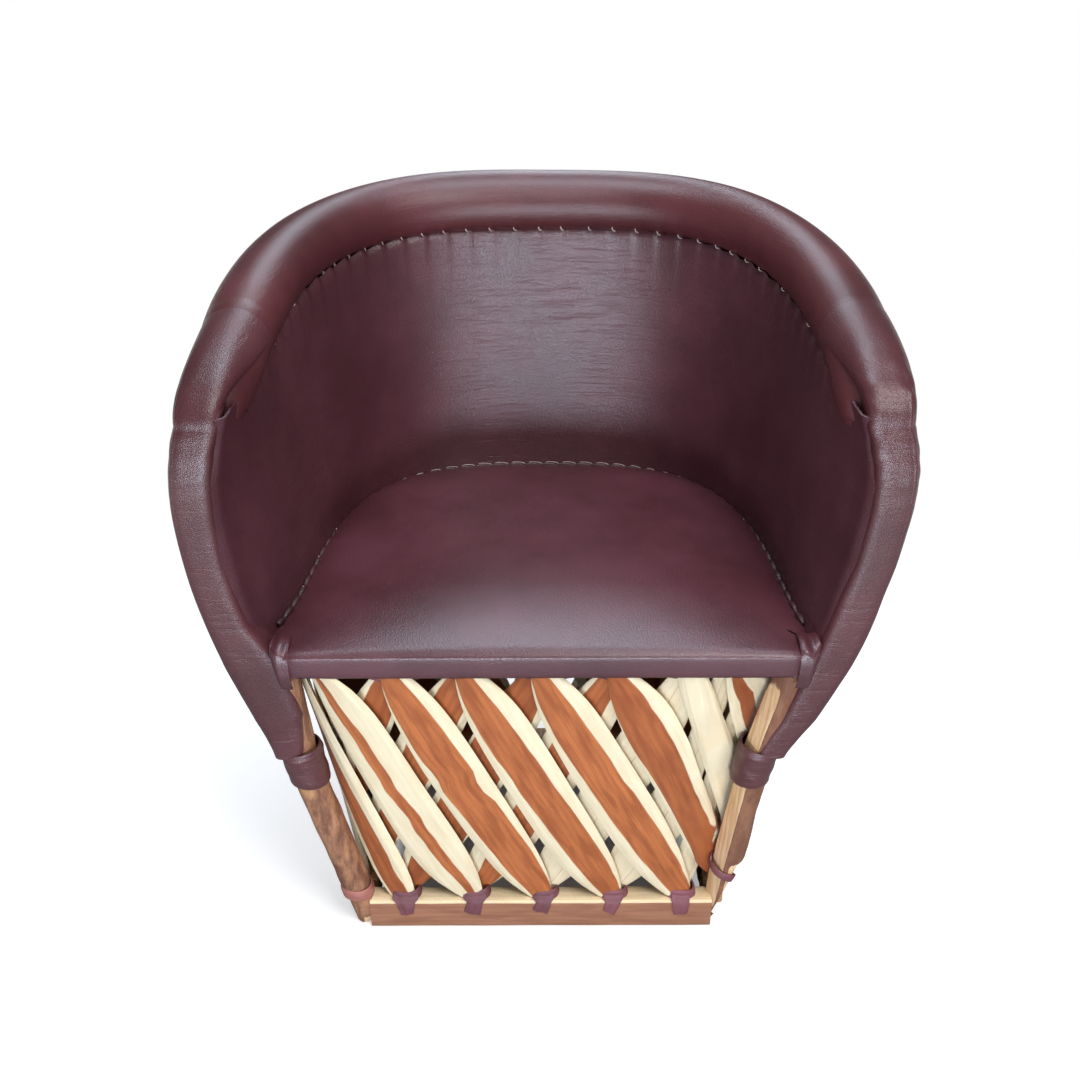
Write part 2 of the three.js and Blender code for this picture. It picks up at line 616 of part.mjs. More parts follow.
// A point of the lining's inner face or of the cover's outer face, at a share of the U and a height.
function wallPoint(face, share, z, inset) {
  const level = levelShare(z);
  const lining = face === 'lining';
  const foot = RING_RADIUS + GAP + HIDE;
  const half = lining
    ? THREE.MathUtils.lerp(SEAT_FRONT_HALF + GAP, LINING_RIM_HALF, level)
    : RING_HALF + foot + COVER_SLOPE_SIDE * level;
  const back = lining
    ? THREE.MathUtils.lerp(SEAT_DEPTH + GAP, LINING_RIM_BACK, level)
    : RING_BACK + foot + COVER_SLOPE_BACK * level;
  const front = frontPlane(Math.min(z, ARM_HEIGHT)) + (lining ? -LINING_LEAD : BAND_DEPTH / 2 + GAP);
  const plan = new PlanCurve(half, front, back);
  const point = plan.getPointAt(share).setZ(z);
  const side = share < 0.5 ? 1 : -1;
  const edge = side * bandAt(side, z).x + (lining ? -1 : 1) * bandHalfWidth(z) - (lining ? HIDE + GAP : 0);
  const fade = Math.max(point.y - front, 0) / FLARE_LENGTH;
  point.x += side * (edge - half) * Math.exp(-fade * Math.sqrt(fade));
  const outward = plan.outwardAt(THREE.MathUtils.clamp(share, PLAN_END_SHARE, 1 - PLAN_END_SHARE));
  return point.addScaledVector(outward, inset);
}

function liningSheet(grow = 0) {
  const columns = 33;
  const rows = 7;
  const run = grow > 0 ? OVERRUN : 0;
  const grid = (inset) => Array.from({ length: rows }, (_, r) => Array.from({ length: columns }, (_, c) => {
    const share = c / (columns - 1);
    const clear = Math.min(1, Math.min(share, 1 - share) / ROLL_BODY_START_SHARE);
    const rim = rimAt(THREE.MathUtils.clamp(share, ROLL_BODY_START_SHARE, 1 - ROLL_BODY_START_SHARE));
    const top = THREE.MathUtils.lerp(LINING_FRONT_TOP_Z, rim.z, clear);
    const z = THREE.MathUtils.lerp(PAD_FOOT_Z, top, r / (rows - 1));
    return wallPoint('lining', share, r === 0 ? z - run : z, inset);
  }));
  return sheet(grid(-grow), grid(HIDE + grow));
}

function backLining() {
  return cut(liningSheet(), rollOuter(GAP), seatRing(GAP), bandLoft(1, GAP), bandLoft(-1, GAP));
}

function coverSheet() {
  const columns = 37;
  const rows = 8;
  const grid = (inset) => Array.from({ length: rows }, (_, r) => Array.from({ length: columns }, (_, c) => {
    const share = c / (columns - 1);
    const clear = Math.min(1, Math.min(share, 1 - share) / ROLL_BODY_START_SHARE);
    const rim = rimAt(THREE.MathUtils.clamp(share, ROLL_BODY_START_SHARE, 1 - ROLL_BODY_START_SHARE));
    const top = THREE.MathUtils.lerp(COVER_FRONT_TOP_Z, rim.z, clear);
    const run = wallPoint('cover', share, COVER_FOOT_Z, 0).y - frontPlane(COVER_FOOT_Z) - BAND_DEPTH / 2;
    const foot = COVER_FOOT_Z - COVER_DIP * Math.exp(-Math.max(run, 0) / COVER_DIP_LENGTH);
    const z = THREE.MathUtils.lerp(foot, top, r / (rows - 1));
    return wallPoint('cover', share, z, inset);
  }));
  return sheet(grid(0), grid(-HIDE));
}

function backCover() {
  return cut(coverSheet(), rollOuter(GAP), topRod(GAP), bandLoft(1, GAP), bandLoft(-1, GAP));
}

// Arm bands and cuffs

function bandLoft(side, grow = 0) {
  const sections = BAND_HEIGHT_SHARES.map((share) => {
    const z = BAND_FOOT_Z + (BAND_TOP_Z - BAND_FOOT_Z) * share;
    const end = share === 1 ? grow : 0;
    const centre = bandAt(side, z).setZ(z + end);
    const half = bandHalfWidth(z) + grow;
    const deep = BAND_DEPTH / 2 + grow;
    const corner = BAND_CORNER_SHARE;
    const ring = [[1, corner], [corner, 1], [-corner, 1], [-1, corner], [-1, -corner], [-corner, -1],
      [0, -BAND_BOW_SHARE], [corner, -1], [1, -corner]];
    return ring.map(([x, y]) => centre.clone().add(new THREE.Vector3(side * half * x, deep * y, 0)));
  });
  return loft(sections);
}

function armBand(side) {
  return cut(bandLoft(side), legBranch(side, GAP), stileRod(side, GAP), seatRing(GAP), topRod(GAP),
    rollOuter(GAP));
}

function armCuff(side) {
  const up = new THREE.Vector3(0, 0, 1);
  const outward = new THREE.Vector3(side, 0, 0);
  const sleeve = loft([0, 0.5, 1].map((share) => {
    const z = THREE.MathUtils.lerp(CUFF_FOOT_Z, BAND_FOOT_Z - GAP, share);
    return circleAt(legAt(side, z), up, outward, LEG_RADIUS + GAP + CUFF_WALL, LIMB_SIDES);
  }));
  return cut(sleeve, legBranch(side, GAP));
}

// Seat

function seatPad() {
  const columns = 36;
  const sides = Array.from({ length: columns + 1 }, (_, i) => wallPoint('lining', i / columns, PAD_FOOT_Z, 0));
  const front = PAD_FRONT_SHARES.map((share) => new THREE.Vector3(SEAT_FRONT_HALF * share, 0, 0));
  const plan = [...sides, ...front];
  const hub = new THREE.Vector3(0, SEAT_DEPTH / 2, 0);
  const ring = (share, z) => plan.map((point) => hub.clone().lerp(point, share).setZ(z));
  return loft([
    ring(1, PAD_FOOT_Z),
    ...PAD_RING_SHARES.map((share) => ring(share, SEAT_HEIGHT + SEAT_CROWN * (1 - share ** PAD_CROWN_POWER))),
  ]);
}

function seatCover() {
  const lip = bar(SEAT_FRONT_HALF, 0, 0, HIDE, LIP_FOOT_Z, PAD_FOOT_Z + RAIL_ROUND - LIP_FOOT_Z, HIDE / 3);
  const foldHalf = RING_HALF - RING_RADIUS - 2 * GAP;
  const fold = bar(foldHalf, 0, HIDE / 2, RAIL_DEPTH + HIDE / 2, LIP_FOOT_Z, HIDE, HIDE / 3);
  return cut(join(seatPad(), lip, fold), seatRing(GAP), seatFrontRail(GAP), liningSheet(GAP),
    legBranch(1, GAP), legBranch(-1, GAP), bandLoft(1, GAP), bandLoft(-1, GAP));
}

// Slats

const wrap = (index) => ((index % SLAT_COUNT) + SLAT_COUNT) % SLAT_COUNT;

const signedTie = (index) => (wrap(index) > SLAT_COUNT / 2 ? wrap(index) - SLAT_COUNT : wrap(index));

// The tie places at the seat: a front row, two corners and the rest evenly along the ring.
function topTie(signed, plan) {
  if (Math.abs(signed) < CORNER_TIE_COUNT) {
    return new THREE.Vector3(signed * FRONT_TOP_PITCH, SLAT_FRONT_TOP_Y, SLAT_TOP_FRONT_Z);
  }
  if (signed === CORNER_TIE_COUNT) {
    return new THREE.Vector3(CORNER_TOP_LEFT, SLAT_FRONT_TOP_Y + CORNER_TOP_BACK, SLAT_TOP_FRONT_Z);
  }
  if (signed === -CORNER_TIE_COUNT) {
    return new THREE.Vector3(-CORNER_TOP_RIGHT, SLAT_FRONT_TOP_Y, SLAT_TOP_FRONT_Z);
  }
  const share = (wrap(signed) - CORNER_TIE_COUNT - 1) / (SLAT_COUNT - 2 * (CORNER_TIE_COUNT + 1));
  const run = RING_LEAD + (plan.getLength() - 2 * RING_LEAD) * share;
  return plan.getPointAt(run / plan.getLength()).setZ(SLAT_TOP_RING_Z);
}

// The tie places at the floor: the front rail, then evenly along the hoop.
function footTie(signed, plan) {
  const shift = new THREE.Vector3(-BASE_SHIFT, 0, 0);
  if (Math.abs(signed) < CORNER_TIE_COUNT) {
    return new THREE.Vector3(signed * FRONT_FOOT_PITCH, SLAT_FRONT_FOOT_Y, SLAT_FOOT_Z).add(shift);
  }
  const lead = CORNER_FOOT_Y - BASE_HOOP_FRONT;
  const share = (wrap(signed) - CORNER_TIE_COUNT) / (SLAT_COUNT - 2 * CORNER_TIE_COUNT);
  const run = lead + (plan.getLength() - 2 * lead) * share;
  return plan.getPointAt(run / plan.getLength()).setZ(SLAT_FOOT_Z).add(shift);
}

// A closed curve through the tie places, straight along the front row.
class TieRing {
  constructor(place, plan) {
    this.ties = Array.from({ length: SLAT_COUNT }, (_, i) => place(signedTie(i), plan));
    this.runs = this.ties.map((tie, i) => this.runAt(tie, i));
  }

  runAt(tie, index) {
    const next = this.ties[wrap(index + 1)];
    const before = this.ties[wrap(index - 1)];
    if (Math.abs(signedTie(index)) >= CORNER_TIE_COUNT) {
      return next.clone().sub(before).divideScalar(2);
    }
    return new THREE.Vector3(Math.min(next.distanceTo(tie), tie.distanceTo(before)), 0, 0);
  }

  at(position) {
    const low = Math.floor(position);
    const t = position - low;
    const ease = t * t * (3 - 2 * t);
    return this.ties[wrap(low)].clone().multiplyScalar(1 - ease)
      .addScaledVector(this.ties[wrap(low + 1)], ease)
      .addScaledVector(this.runs[wrap(low)], t * (1 - t) * (1 - t))
      .addScaledVector(this.runs[wrap(low + 1)], t * t * (t - 1));
  }
}

const topTies = new TieRing(topTie, seatRingPlan);
const footTies = new TieRing(footTie, baseHoopPlan);

// The drum's surface: position is a tie number, drop runs from 0 at the seat to 1 at the base.
function drumPoint(position, drop) {
  const top = topTies.at(position);
  return top.setZ(Math.min(top.z, SLAT_TOP_FRONT_Z)).lerp(footTies.at(position).setZ(SLAT_FOOT_Z), drop);
}

function drumOutward(position, drop) {
  const run = drumPoint(position + TIE_STEP_SHARE, drop).sub(drumPoint(position - TIE_STEP_SHARE, drop));
  return new THREE.Vector3(run.y, -run.x, 0).normalize();
}

// One section of a slat, laid on the drum square to its lean and, at the two ties, level.
function slatSection(index, lean, drop, profile) {
  const position = index + lean * SLAT_STEP * drop;
  const ahead = drumPoint(position + PITCH_STEP_SHARE, drop);
  const pitch = ahead.distanceTo(drumPoint(position - PITCH_STEP_SHARE, drop)) / (2 * PITCH_STEP_SHARE);
  const slope = lean * SLAT_STEP * pitch / (SLAT_TOP_FRONT_Z - SLAT_FOOT_Z);
  const cosine = 1 / Math.hypot(1, slope);
  const fill = SLAT_FILL_SHARE + SLAT_VARY_SHARE * Math.sin(index * SLAT_VARY_STEP + lean);
  const round = 1 - Math.abs(2 * drop - 1) ** SLAT_LENS_POWER;
  const half = (SLAT_TIP_WIDTH + (fill * pitch * cosine - SLAT_TIP_WIDTH) * round) / 2;
  const level = 1 - Math.min(1, Math.min(drop, 1 - drop) / SLAT_STATION_SHARES[2]);
  return profile.map(([side, face]) => {
    const reach = side * half;
    const slide = reach * (level + (1 - level) * cosine) / pitch;
    const rise = (1 - level) * reach * slope * cosine / (SLAT_TOP_FRONT_Z - SLAT_FOOT_Z);
    const outward = drumOutward(position + slide, drop - rise);
    return drumPoint(position + slide, drop - rise)
      .addScaledVector(outward, lean * SLAT_OFFSET + face * SLAT_THICKNESS / 2);
  });
}

// A lens-shaped slat. lean is 1 for the outer layer and -1 for the inner one.
function slat(index, lean) {
  const flat = SLAT_CHAMFER_SHARE;
  const turn = drumOutward(index, 0.5).angleTo(drumOutward(index + lean * SLAT_STEP, 0.5));
  const middle = turn > SLAT_BEND_LIMIT ? [0] : [];
  const profile = [
    [-1, 0], [-flat, 1], ...middle.map((at) => [at, 1]), [flat, 1],
    [1, 0], [flat, -1], ...middle.map((at) => [at, -1]), [-flat, -1],
  ];
  return loft(SLAT_STATION_SHARES.map((drop) => slatSection(index, lean, drop, profile)));
}

// A thong through the front rail's slot, with both ends up against the slats' feet.
function frontTie(index) {
  const front = BASE_RAIL_FRONT - GAP;
  const back = BASE_RAIL_FRONT + BASE_RAIL_DEPTH + GAP;
  const hold = SLAT_OFFSET + SLAT_THICKNESS / 2 + THONG_SLACK;
  const nearFoot = SLAT_FRONT_FOOT_Y - hold - THONG / 2;
  const farFoot = SLAT_FRONT_FOOT_Y + hold + THONG / 2;
  const lean = (SLAT_FRONT_TOP_Y - SLAT_FRONT_FOOT_Y) / (SLAT_TOP_FRONT_Z - SLAT_FOOT_Z);
  const top = BASE_HEIGHT + THONG / 2 + GAP;
  const low = THONG_SLOT_Z + THONG / 2;
  const route = [
    [nearFoot + lean * THONG_RISE, top + THONG_RISE], [nearFoot + lean * THONG, top + THONG],
    [front - THONG / 2, top],
    [front - THONG / 2, low], [back + THONG / 2, low], [back + THONG / 2, top],
    [farFoot, top + THONG], [farFoot + lean * THONG_BACK_RISE, top + THONG_BACK_RISE],
  ].map(([y, z]) => new THREE.Vector2(y, z));
  const sides = [1, -1].map((sign) => route.map((point, i) => {
    const before = route[Math.max(i - 1, 0)];
    const after = route[Math.min(i + 1, route.length - 1)];
    const into = point.clone().sub(before).normalize();
    const out = after.clone().sub(point).normalize();
    const first = i === 0 ? out : into;
    const second = i === route.length - 1 ? into : out;
    const mitre = new THREE.Vector2(-first.y - second.y, first.x + second.x).normalize();
    const square = new THREE.Vector2(-second.y, second.x);
    return point.clone().addScaledVector(mitre, sign * (THONG / 2) / mitre.dot(square));
  }));
  const outline = new THREE.Shape([...sides[0], ...sides[1].reverse()]);
  const geometry = new THREE.ExtrudeGeometry(outline, { depth: THONG_WIDTH, bevelEnabled: false });
  geometry.applyMatrix4(new THREE.Matrix4().set(
    0, 0, 1, tiePlace(index) - THONG_WIDTH / 2,
    1, 0, 0, 0,
    0, 1, 0, 0,
    0, 0, 0, 1,
  ));
  return geometry;
}

// The chair

const chair = new THREE.Group();

function add(name, geometry, material, group) {
  const mesh = new THREE.Mesh(geometry, material);
  mesh.name = name;
  group.add(mesh);
}

const base = new THREE.Group();
add('base_front_rail', baseFrontRail(), SAPWOOD, base);
add('base_hoop', baseHoop(), POLE, base);
for (let i = 0; i < FRONT_TIE_COUNT; i += 1) {
  add(`front_tie_${i + 1}`, frontTie(i), THONG_LEATHER, base);
}
for (let i = 0; i < SLAT_COUNT; i += 1) {
  const number = String(i + 1).padStart(2, '0');
  add(`outer_slat_${number}`, slat(i, 1), HEARTWOOD, base);
  add(`inner_slat_${number}`, slat(i, -1), i % 3 ? SAPWOOD : HEARTWOOD, base);
}

const frame = new THREE.Group();
add('seat_front_rail', seatFrontRail(), POLE, frame);
add('seat_hoop', seatRing(), POLE, frame);
add('top_rod', topRod(), POLE, frame);
UPRIGHT_PLACE_SHARES.forEach((share, i) => add(`back_upright_${i + 1}`, backUpright(share), POLE, frame));

const leather = new THREE.Group();
add('seat_cover', seatCover(), LEATHER, leather);
add('back_lining', backLining(), LEATHER, leather);
add('back_cover', backCover(), LEATHER, leather);
add('rim_roll', rimRoll(), LEATHER, leather);

for (const [side, hand] of [[1, 'left'], [-1, 'right']]) {
  add(`front_leg_${hand}`, frontLeg(side), BARK, frame);
  add(`arm_stile_${hand}`, armStile(side), POLE, frame);
  add(`arm_band_${hand}`, armBand(side), LEATHER, leather);
  add(`arm_cuff_${hand}`, armCuff(side), LEATHER, leather);
}

chair.add(base, frame, leather);
const outline = new THREE.Box3().setFromObject(chair);
chair.position.y = -(outline.min.y + outline.max.y) / 2;
chair.position.x = -(outline.min.x + outline.max.x) / 2;

export default chair;
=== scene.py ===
"""The equipale's looks: leather, split slats, bark and thongs over the part's own frame."""
import json
import math

import bpy
import numpy as np
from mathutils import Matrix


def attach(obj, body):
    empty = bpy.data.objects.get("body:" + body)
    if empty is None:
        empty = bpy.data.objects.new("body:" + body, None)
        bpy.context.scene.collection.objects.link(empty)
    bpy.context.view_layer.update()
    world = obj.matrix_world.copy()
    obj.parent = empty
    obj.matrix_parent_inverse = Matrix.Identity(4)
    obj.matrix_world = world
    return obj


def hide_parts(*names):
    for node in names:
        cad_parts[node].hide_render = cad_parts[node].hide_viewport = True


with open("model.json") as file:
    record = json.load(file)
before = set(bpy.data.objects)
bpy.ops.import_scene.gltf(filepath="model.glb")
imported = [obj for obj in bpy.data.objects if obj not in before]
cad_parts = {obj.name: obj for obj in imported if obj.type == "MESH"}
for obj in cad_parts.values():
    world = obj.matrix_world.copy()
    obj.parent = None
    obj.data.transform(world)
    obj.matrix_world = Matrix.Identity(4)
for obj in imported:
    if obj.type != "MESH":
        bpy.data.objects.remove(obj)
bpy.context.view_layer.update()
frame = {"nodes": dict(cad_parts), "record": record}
bpy.ops.object.select_all(action="DESELECT")
NODES = frame["nodes"]

# ---- The chair's own outline, in millimetres as drawn, with y from the seat's front face ----

SHIFT = np.array([1.3611, -248.95, 0.0])  # from there to the part's own origin
POWER = 2.95  # squareness of every U outline
SEAT_TOP = 440.0
SEAT_HALF = 262.0
ARM_Z = 640.0
RING_Z = 417.0
RIM_Z = 763.0
SWAY = 16  # how far legs and bands lean together to one side
LEG_FOOT_HALF, LEG_SPLAY, LEG_TOP = 212, 54, 405.0
LEG_Z = [0, 0.14, 0.37, 0.62, 0.8, 1]
LEG_OUT = [0, 0.13, 0.38, 0.66, 0.83, 1]
LEG_SWAY = [0.31, 0.45, 0.72, 1, 0.75, 0.4]
BAND_FOOT, BAND_RISE, BAND_SWELL = 280, 424, 64.5
BAND_HIDE_FOOT = 285.0
BAND_Z = [0, 0.06, 0.14, 0.25, 0.35, 0.44, 0.53, 0.61, 0.7, 0.78, 0.86, 0.93, 1]
BAND_OUT = [0, 0.1, 0.3, 0.505, 0.67, 0.79, 0.88, 0.95, 0.99, 1, 0.96, 0.87, 0.73]
BAND_SWAY = [1, 0.84, 0.6, 0.44, 0.34, 0.31, 0.31, 0.22, 0.15, 0.06, 0, 0, 0]
BAND_BACK = [0, 0, 0, 0, 0, 0, 0, 0, 0, 0, 0.12, 0.45, 1]
CUFF_FOOT, CUFF_TOP = 240, 290
ROLL = 36.0
ROLL_START = 0.085  # share of the rim, at each end, that the noses and shoulders take up
PITCH = 27.0  # from one tab of the back's seam to the next
SEAT_PITCH = 23.0
TIES = [-166, -83, 0, 83, 166]
SIDES = {"left": 1, "right": -1}  # the sitter's
X_AXIS, Y_AXIS, Z_AXIS = np.eye(3)
ROUND = 2 * math.pi
# U outlines: half width, front and back
SEAM_PLAN = (276, 20, 448)
SEAT_PLAN = (262.3, 27, 438.3)
LINING_PLAN = (270, 20, 445)
COVER_PLAN = (305, 45, 480)
RIM_PLAN = (304.6, 9.3, 473.0)
HOOP_PLAN = (212, 98.8, 388)
# half width and back at the ring, what each gains up to the rim, and how far behind the front plane
WALLS = {"lining": (262.3, 14.7, 438.3, 13.7, -5.25), "cover": (286.3, 47, 462.8, 42, 21.3)}


def squared(value, power):
    """A sine or cosine, changed for an outline that is squarer than a circle."""
    return np.sign(value) * np.abs(value) ** (2 / power)


def unit(vectors):
    return vectors / np.maximum(np.linalg.norm(vectors, axis=-1, keepdims=True), 1e-6)


def fade(value, start, length):
    """0 up to the start, and then evenly up to 1."""
    return np.clip((value - start) / length, 0, 1)


def metres(points):
    return (np.asarray(points, float) + SHIFT) * 0.001


def smooth_table(stations, table, share):
    """A value between neighbouring stations, smoothly."""
    last = len(table) - 1
    place = np.interp(np.clip(share, 0, 1), stations, np.arange(last + 1))
    low = np.clip(np.floor(place).astype(int), 0, last - 1)
    t = place - low
    values = np.asarray(table, float)
    a, b, c, d = (values[np.clip(low + k, 0, last)] for k in (-1, 0, 1, 2))
    return b + ((c - a) * t + (2 * a - 5 * b + 4 * c - d) * t ** 2 + (3 * b - a - 3 * c + d) * t ** 3) / 2


def front_plane(z):
    return 80.0 - 71.0 * np.minimum(z, ARM_Z) / ARM_Z


def leg_centre(side, z):
    share = np.asarray(z, float) / RING_Z
    out = LEG_FOOT_HALF + LEG_SPLAY * smooth_table(LEG_Z, LEG_OUT, share)
    x = side * out - SWAY * smooth_table(LEG_Z, LEG_SWAY, share)
    return np.stack([x, front_plane(z), z + 0 * x], -1)


def leg_radius(z):
    return 14 + 4.5 * fade(z, 0, 82) - 2 * fade(z, 280, 137)


def band_centre(side, z):
    share = (np.asarray(z, float) - BAND_FOOT) / BAND_RISE
    out = SEAT_HALF + BAND_SWELL * smooth_table(BAND_Z, BAND_OUT, share)
    x = side * out - SWAY * smooth_table(BAND_Z, BAND_SWAY, share)
    y = front_plane(z) + 18 * smooth_table(BAND_Z, BAND_BACK, share)
    return np.stack([x, y, z + 0 * x], -1)


def band_half(z):
    return (30 + 13 * fade(z, BAND_FOOT, 132)) / 2


def band_widening(side, z):
    """How far a band's hide reaches inwards past its solid, over the seat's corner."""
    low = 4.2 * np.clip((545 - z) / 110, 0, 1)
    return low if side > 0 else low + 16.0 * np.clip((468 - z) / 50, 0, 1) * fade(z, BAND_HIDE_FOOT, 60)


def band_inside(side, z):
    """Distance of a band's inner side from the middle."""
    return abs(band_centre(side, z)[0]) - band_half(z) - band_widening(side, z)


def plan_turns(count, plan, start=0.0, stop=1.0):
    """Angles that lie evenly along a U outline, and the outline's length."""
    half, front, back = plan
    turn = np.linspace(0, math.pi, 2001)
    x, y = half * squared(np.cos(turn), POWER), (back - front) * squared(np.sin(turn), POWER)
    run = np.concatenate([[0], np.cumsum(np.hypot(np.diff(x), np.diff(y)))])
    return np.interp(np.linspace(start, stop, count) * run[-1], run, turn), run[-1]


def plan_point(turn, half, front, back):
    """A point of a U outline, and the way out there."""
    cosine, sine = np.cos(turn), np.sin(turn)
    x = half * squared(cosine, POWER)
    y = front + (back - front) * np.abs(sine) ** (2 / POWER)
    out_x = np.sign(cosine) * np.abs(cosine) ** (2 - 2 / POWER) / half
    out_y = np.abs(sine) ** (2 - 2 / POWER) / (back - front)
    size = np.hypot(out_x, out_y)
    return x, y, out_x / size, out_y / size


def wall(face, turn, z, inset=0.0):
    """A point of the lining's inner face or of the cover's outer face."""
    half, flare, back, lean, lead = WALLS[face]
    level = (z - RING_Z) / (RIM_Z - RING_Z)
    half, front, back = half + flare * level, front_plane(z) + lead, back + lean * level
    x, y, out_x, out_y = plan_point(turn, half, front, back)
    side = np.where(np.cos(turn) >= 0, 1, -1)
    centre = np.where(side > 0, band_centre(1, z)[..., 0], -band_centre(-1, z)[..., 0])
    edge = centre - band_half(z) - 3.8 if face == "lining" else centre + band_half(z)
    x = x + side * (edge - half) * np.exp(-(np.maximum(y - front, 0) / 62) ** 1.5)
    return np.stack([x + out_x * inset, y + out_y * inset, z + 0 * x], -1)


def rim_point(turn):
    """A point of the rim's middle line, and the way out there."""
    x, y, out_x, out_y = plan_point(turn, *RIM_PLAN)
    deep = fade(y, RIM_PLAN[1], RIM_PLAN[2] - RIM_PLAN[1])
    return np.stack([x, y, 644 + 119 * deep ** 0.3], -1), np.stack([out_x, out_y, 0 * x], -1)


SEAM_TURNS, SEAM_LENGTH = plan_turns(500, SEAM_PLAN)
TABS = round(SEAM_LENGTH / PITCH)


def seam_phase(turn):
    """Tabs counted along the back's seam, from the sitter's left arm round to the right one."""
    return np.interp(turn, SEAM_TURNS, np.linspace(0, TABS, len(SEAM_TURNS)))


def tab_rise(phase):
    """Each tab climbs slowly to its stitch and drops sharply, seen from the front from left to right."""
    part = 1 - phase % 1
    return np.where(part < 0.86, (part / 0.86) ** 1.4, (1 - part) / 0.14)


def seam_place(turn):
    """Section angle at which the lining meets the roll."""
    return np.radians(214 + 13 * np.abs(np.sin(turn)))


def wall_top(turn, share, nearest, at_arm, under_rim):
    """A wall's top edge, level at the arms and then along the rim, and how clear of the arms each point is."""
    rim, _ = rim_point(np.clip(turn, nearest, math.pi - nearest))
    clear = np.minimum(1, np.minimum(share, 1 - share) / ROLL_START)
    return at_arm + (rim[..., 2] - under_rim - at_arm) * clear, clear


# ---- Shaping ----

def grid_piece(name, points, **values):
    """A grid primitive laid over rows of points in millimetres, with the grid's own map."""
    points = np.asarray(points, float)
    rows, columns = points.shape[:2]
    bpy.ops.mesh.primitive_grid_add(x_subdivisions=rows - 1, y_subdivisions=columns - 1, size=2)
    piece = bpy.context.object
    piece.name = piece.data.name = name
    flat = coordinates(piece)
    row = np.rint((flat[:, 0] + 1) / 2 * (rows - 1)).astype(int)
    column = np.rint((flat[:, 1] + 1) / 2 * (columns - 1)).astype(int)
    piece.data.vertices.foreach_set("co", metres(points[row, column]).ravel())
    piece.data.update()
    for label, table in values.items():
        attribute(piece, label, np.asarray(table, float)[row, column])
    return piece


def alone(piece, *steps):
    """Takes the steps with only this piece selected."""
    bpy.ops.object.select_all(action="DESELECT")
    bpy.context.view_layer.objects.active = piece
    piece.select_set(True)
    for step in steps:
        step()
    piece.select_set(False)
    return piece


def in_edit(piece, *steps):
    return alone(piece, lambda: bpy.ops.object.mode_set(mode="EDIT"),
                 lambda: bpy.ops.mesh.select_all(action="SELECT"), *steps,
                 lambda: bpy.ops.object.mode_set(mode="OBJECT"))


def weld():
    bpy.ops.mesh.remove_doubles(threshold=0.00002)


def outward():
    bpy.ops.mesh.normals_make_consistent(inside=False)


def modify(piece, kind, **settings):
    modifier = piece.modifiers.new(kind.lower(), kind)
    for name, value in settings.items():
        setattr(modifier, name, value)
    return alone(piece, lambda: bpy.ops.object.modifier_apply(modifier=modifier.name))


def subdivide(piece, levels=1):
    return modify(piece, "SUBSURF", levels=levels, render_levels=levels)


def smooth(piece, degrees=None):
    if degrees is None:
        return alone(piece, bpy.ops.object.shade_smooth)
    return alone(piece, lambda: bpy.ops.object.shade_smooth_by_angle(angle=math.radians(degrees)))


def thickened(piece, thickness, offset=-1.0, levels=0, degrees=60):
    """Gives a sheet its two faces."""
    modify(piece, "SOLIDIFY", thickness=thickness, offset=offset)
    in_edit(piece, outward)
    if levels:
        subdivide(piece, levels)
    return smooth(piece, degrees)


def coordinates(piece):
    flat = np.empty(len(piece.data.vertices) * 3)
    piece.data.vertices.foreach_get("co", flat)
    return flat.reshape(-1, 3)


def attribute(piece, name, values):
    layer = piece.data.attributes.new(name, "FLOAT_VECTOR", "POINT")
    layer.data.foreach_set("vector", np.asarray(values, float).ravel())


def dress(piece, material, slot, *nodes):
    piece.data.materials.clear()
    piece.data.materials.append(material)
    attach(piece, "root")
    if nodes:
        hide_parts(*nodes)
    return piece


def ring(centre, out, up, turn, wide, deep, power=2.0):
    """Points round a section: a circle at power 2, squarer above it."""
    across = squared(np.cos(turn), power) * wide
    along = squared(np.sin(turn), power) * deep
    return centre + across[..., None] * out + along[..., None] * up


def wobble(points, size, scale, seed=0.0):
    """A smooth uneven field made of a few waves, from -size to size."""
    p = np.asarray(points, float) / scale
    total = 0.0
    for k in range(5):
        w = seed + 1.7 * k
        direction = np.array([math.sin(2.1 * w + 0.3), math.cos(1.3 * w), math.sin(0.7 * w + 1.1)])
        total = total + np.sin(p @ direction * (1 + 0.45 * k) + 3.1 * w) / (1 + 0.6 * k)
    return size * total / 2.4


def path_tube(name, path, radius, sides=8, flat=1.0, up=(0, 0, 1)):
    """A thong or thread along points, closed at both ends. It is flat along its up direction."""
    path = np.asarray(path, float)
    radius = np.broadcast_to(np.asarray(radius, float), len(path))
    run = unit(np.gradient(path, axis=0))
    side = unit(np.cross(run, np.broadcast_to(np.asarray(up, float), path.shape)))
    top = np.cross(side, run)
    turn = np.linspace(0, ROUND, sides + 1)
    rows = [ring(path[k], side[k], top[k], turn, radius[k], radius[k] * flat, 2.6) for k in range(len(path))]
    start, end = (np.repeat(path[j][None], sides + 1, 0) for j in (0, -1))
    return in_edit(grid_piece(name, [start] + rows + [end]), weld, outward)


def merged(name, pieces):
    """Several small pieces as one object."""
    bpy.ops.object.select_all(action="DESELECT")
    for piece in pieces:
        piece.select_set(True)
    bpy.context.view_layer.objects.active = pieces[0]
    bpy.ops.object.join()
    pieces[0].name = pieces[0].data.name = name
    bpy.ops.object.select_all(action="DESELECT")
    return pieces[0]


def spread_along(table, stations, share):
    """Points between the table's points, each coordinate by itself."""
    return np.stack([smooth_table(stations, table[:, k], share) for k in range(3)], -1)


def curve_through(points, count):
    """Points spread along a smooth curve through the given ones."""
    points = np.asarray(points, float)
    return spread_along(points, np.linspace(0, 1, len(points)), np.linspace(0, 1, count))


def copied(source):
    copy = source.copy()
    copy.data = source.data.copy()
    bpy.context.collection.objects.link(copy)
    return copy


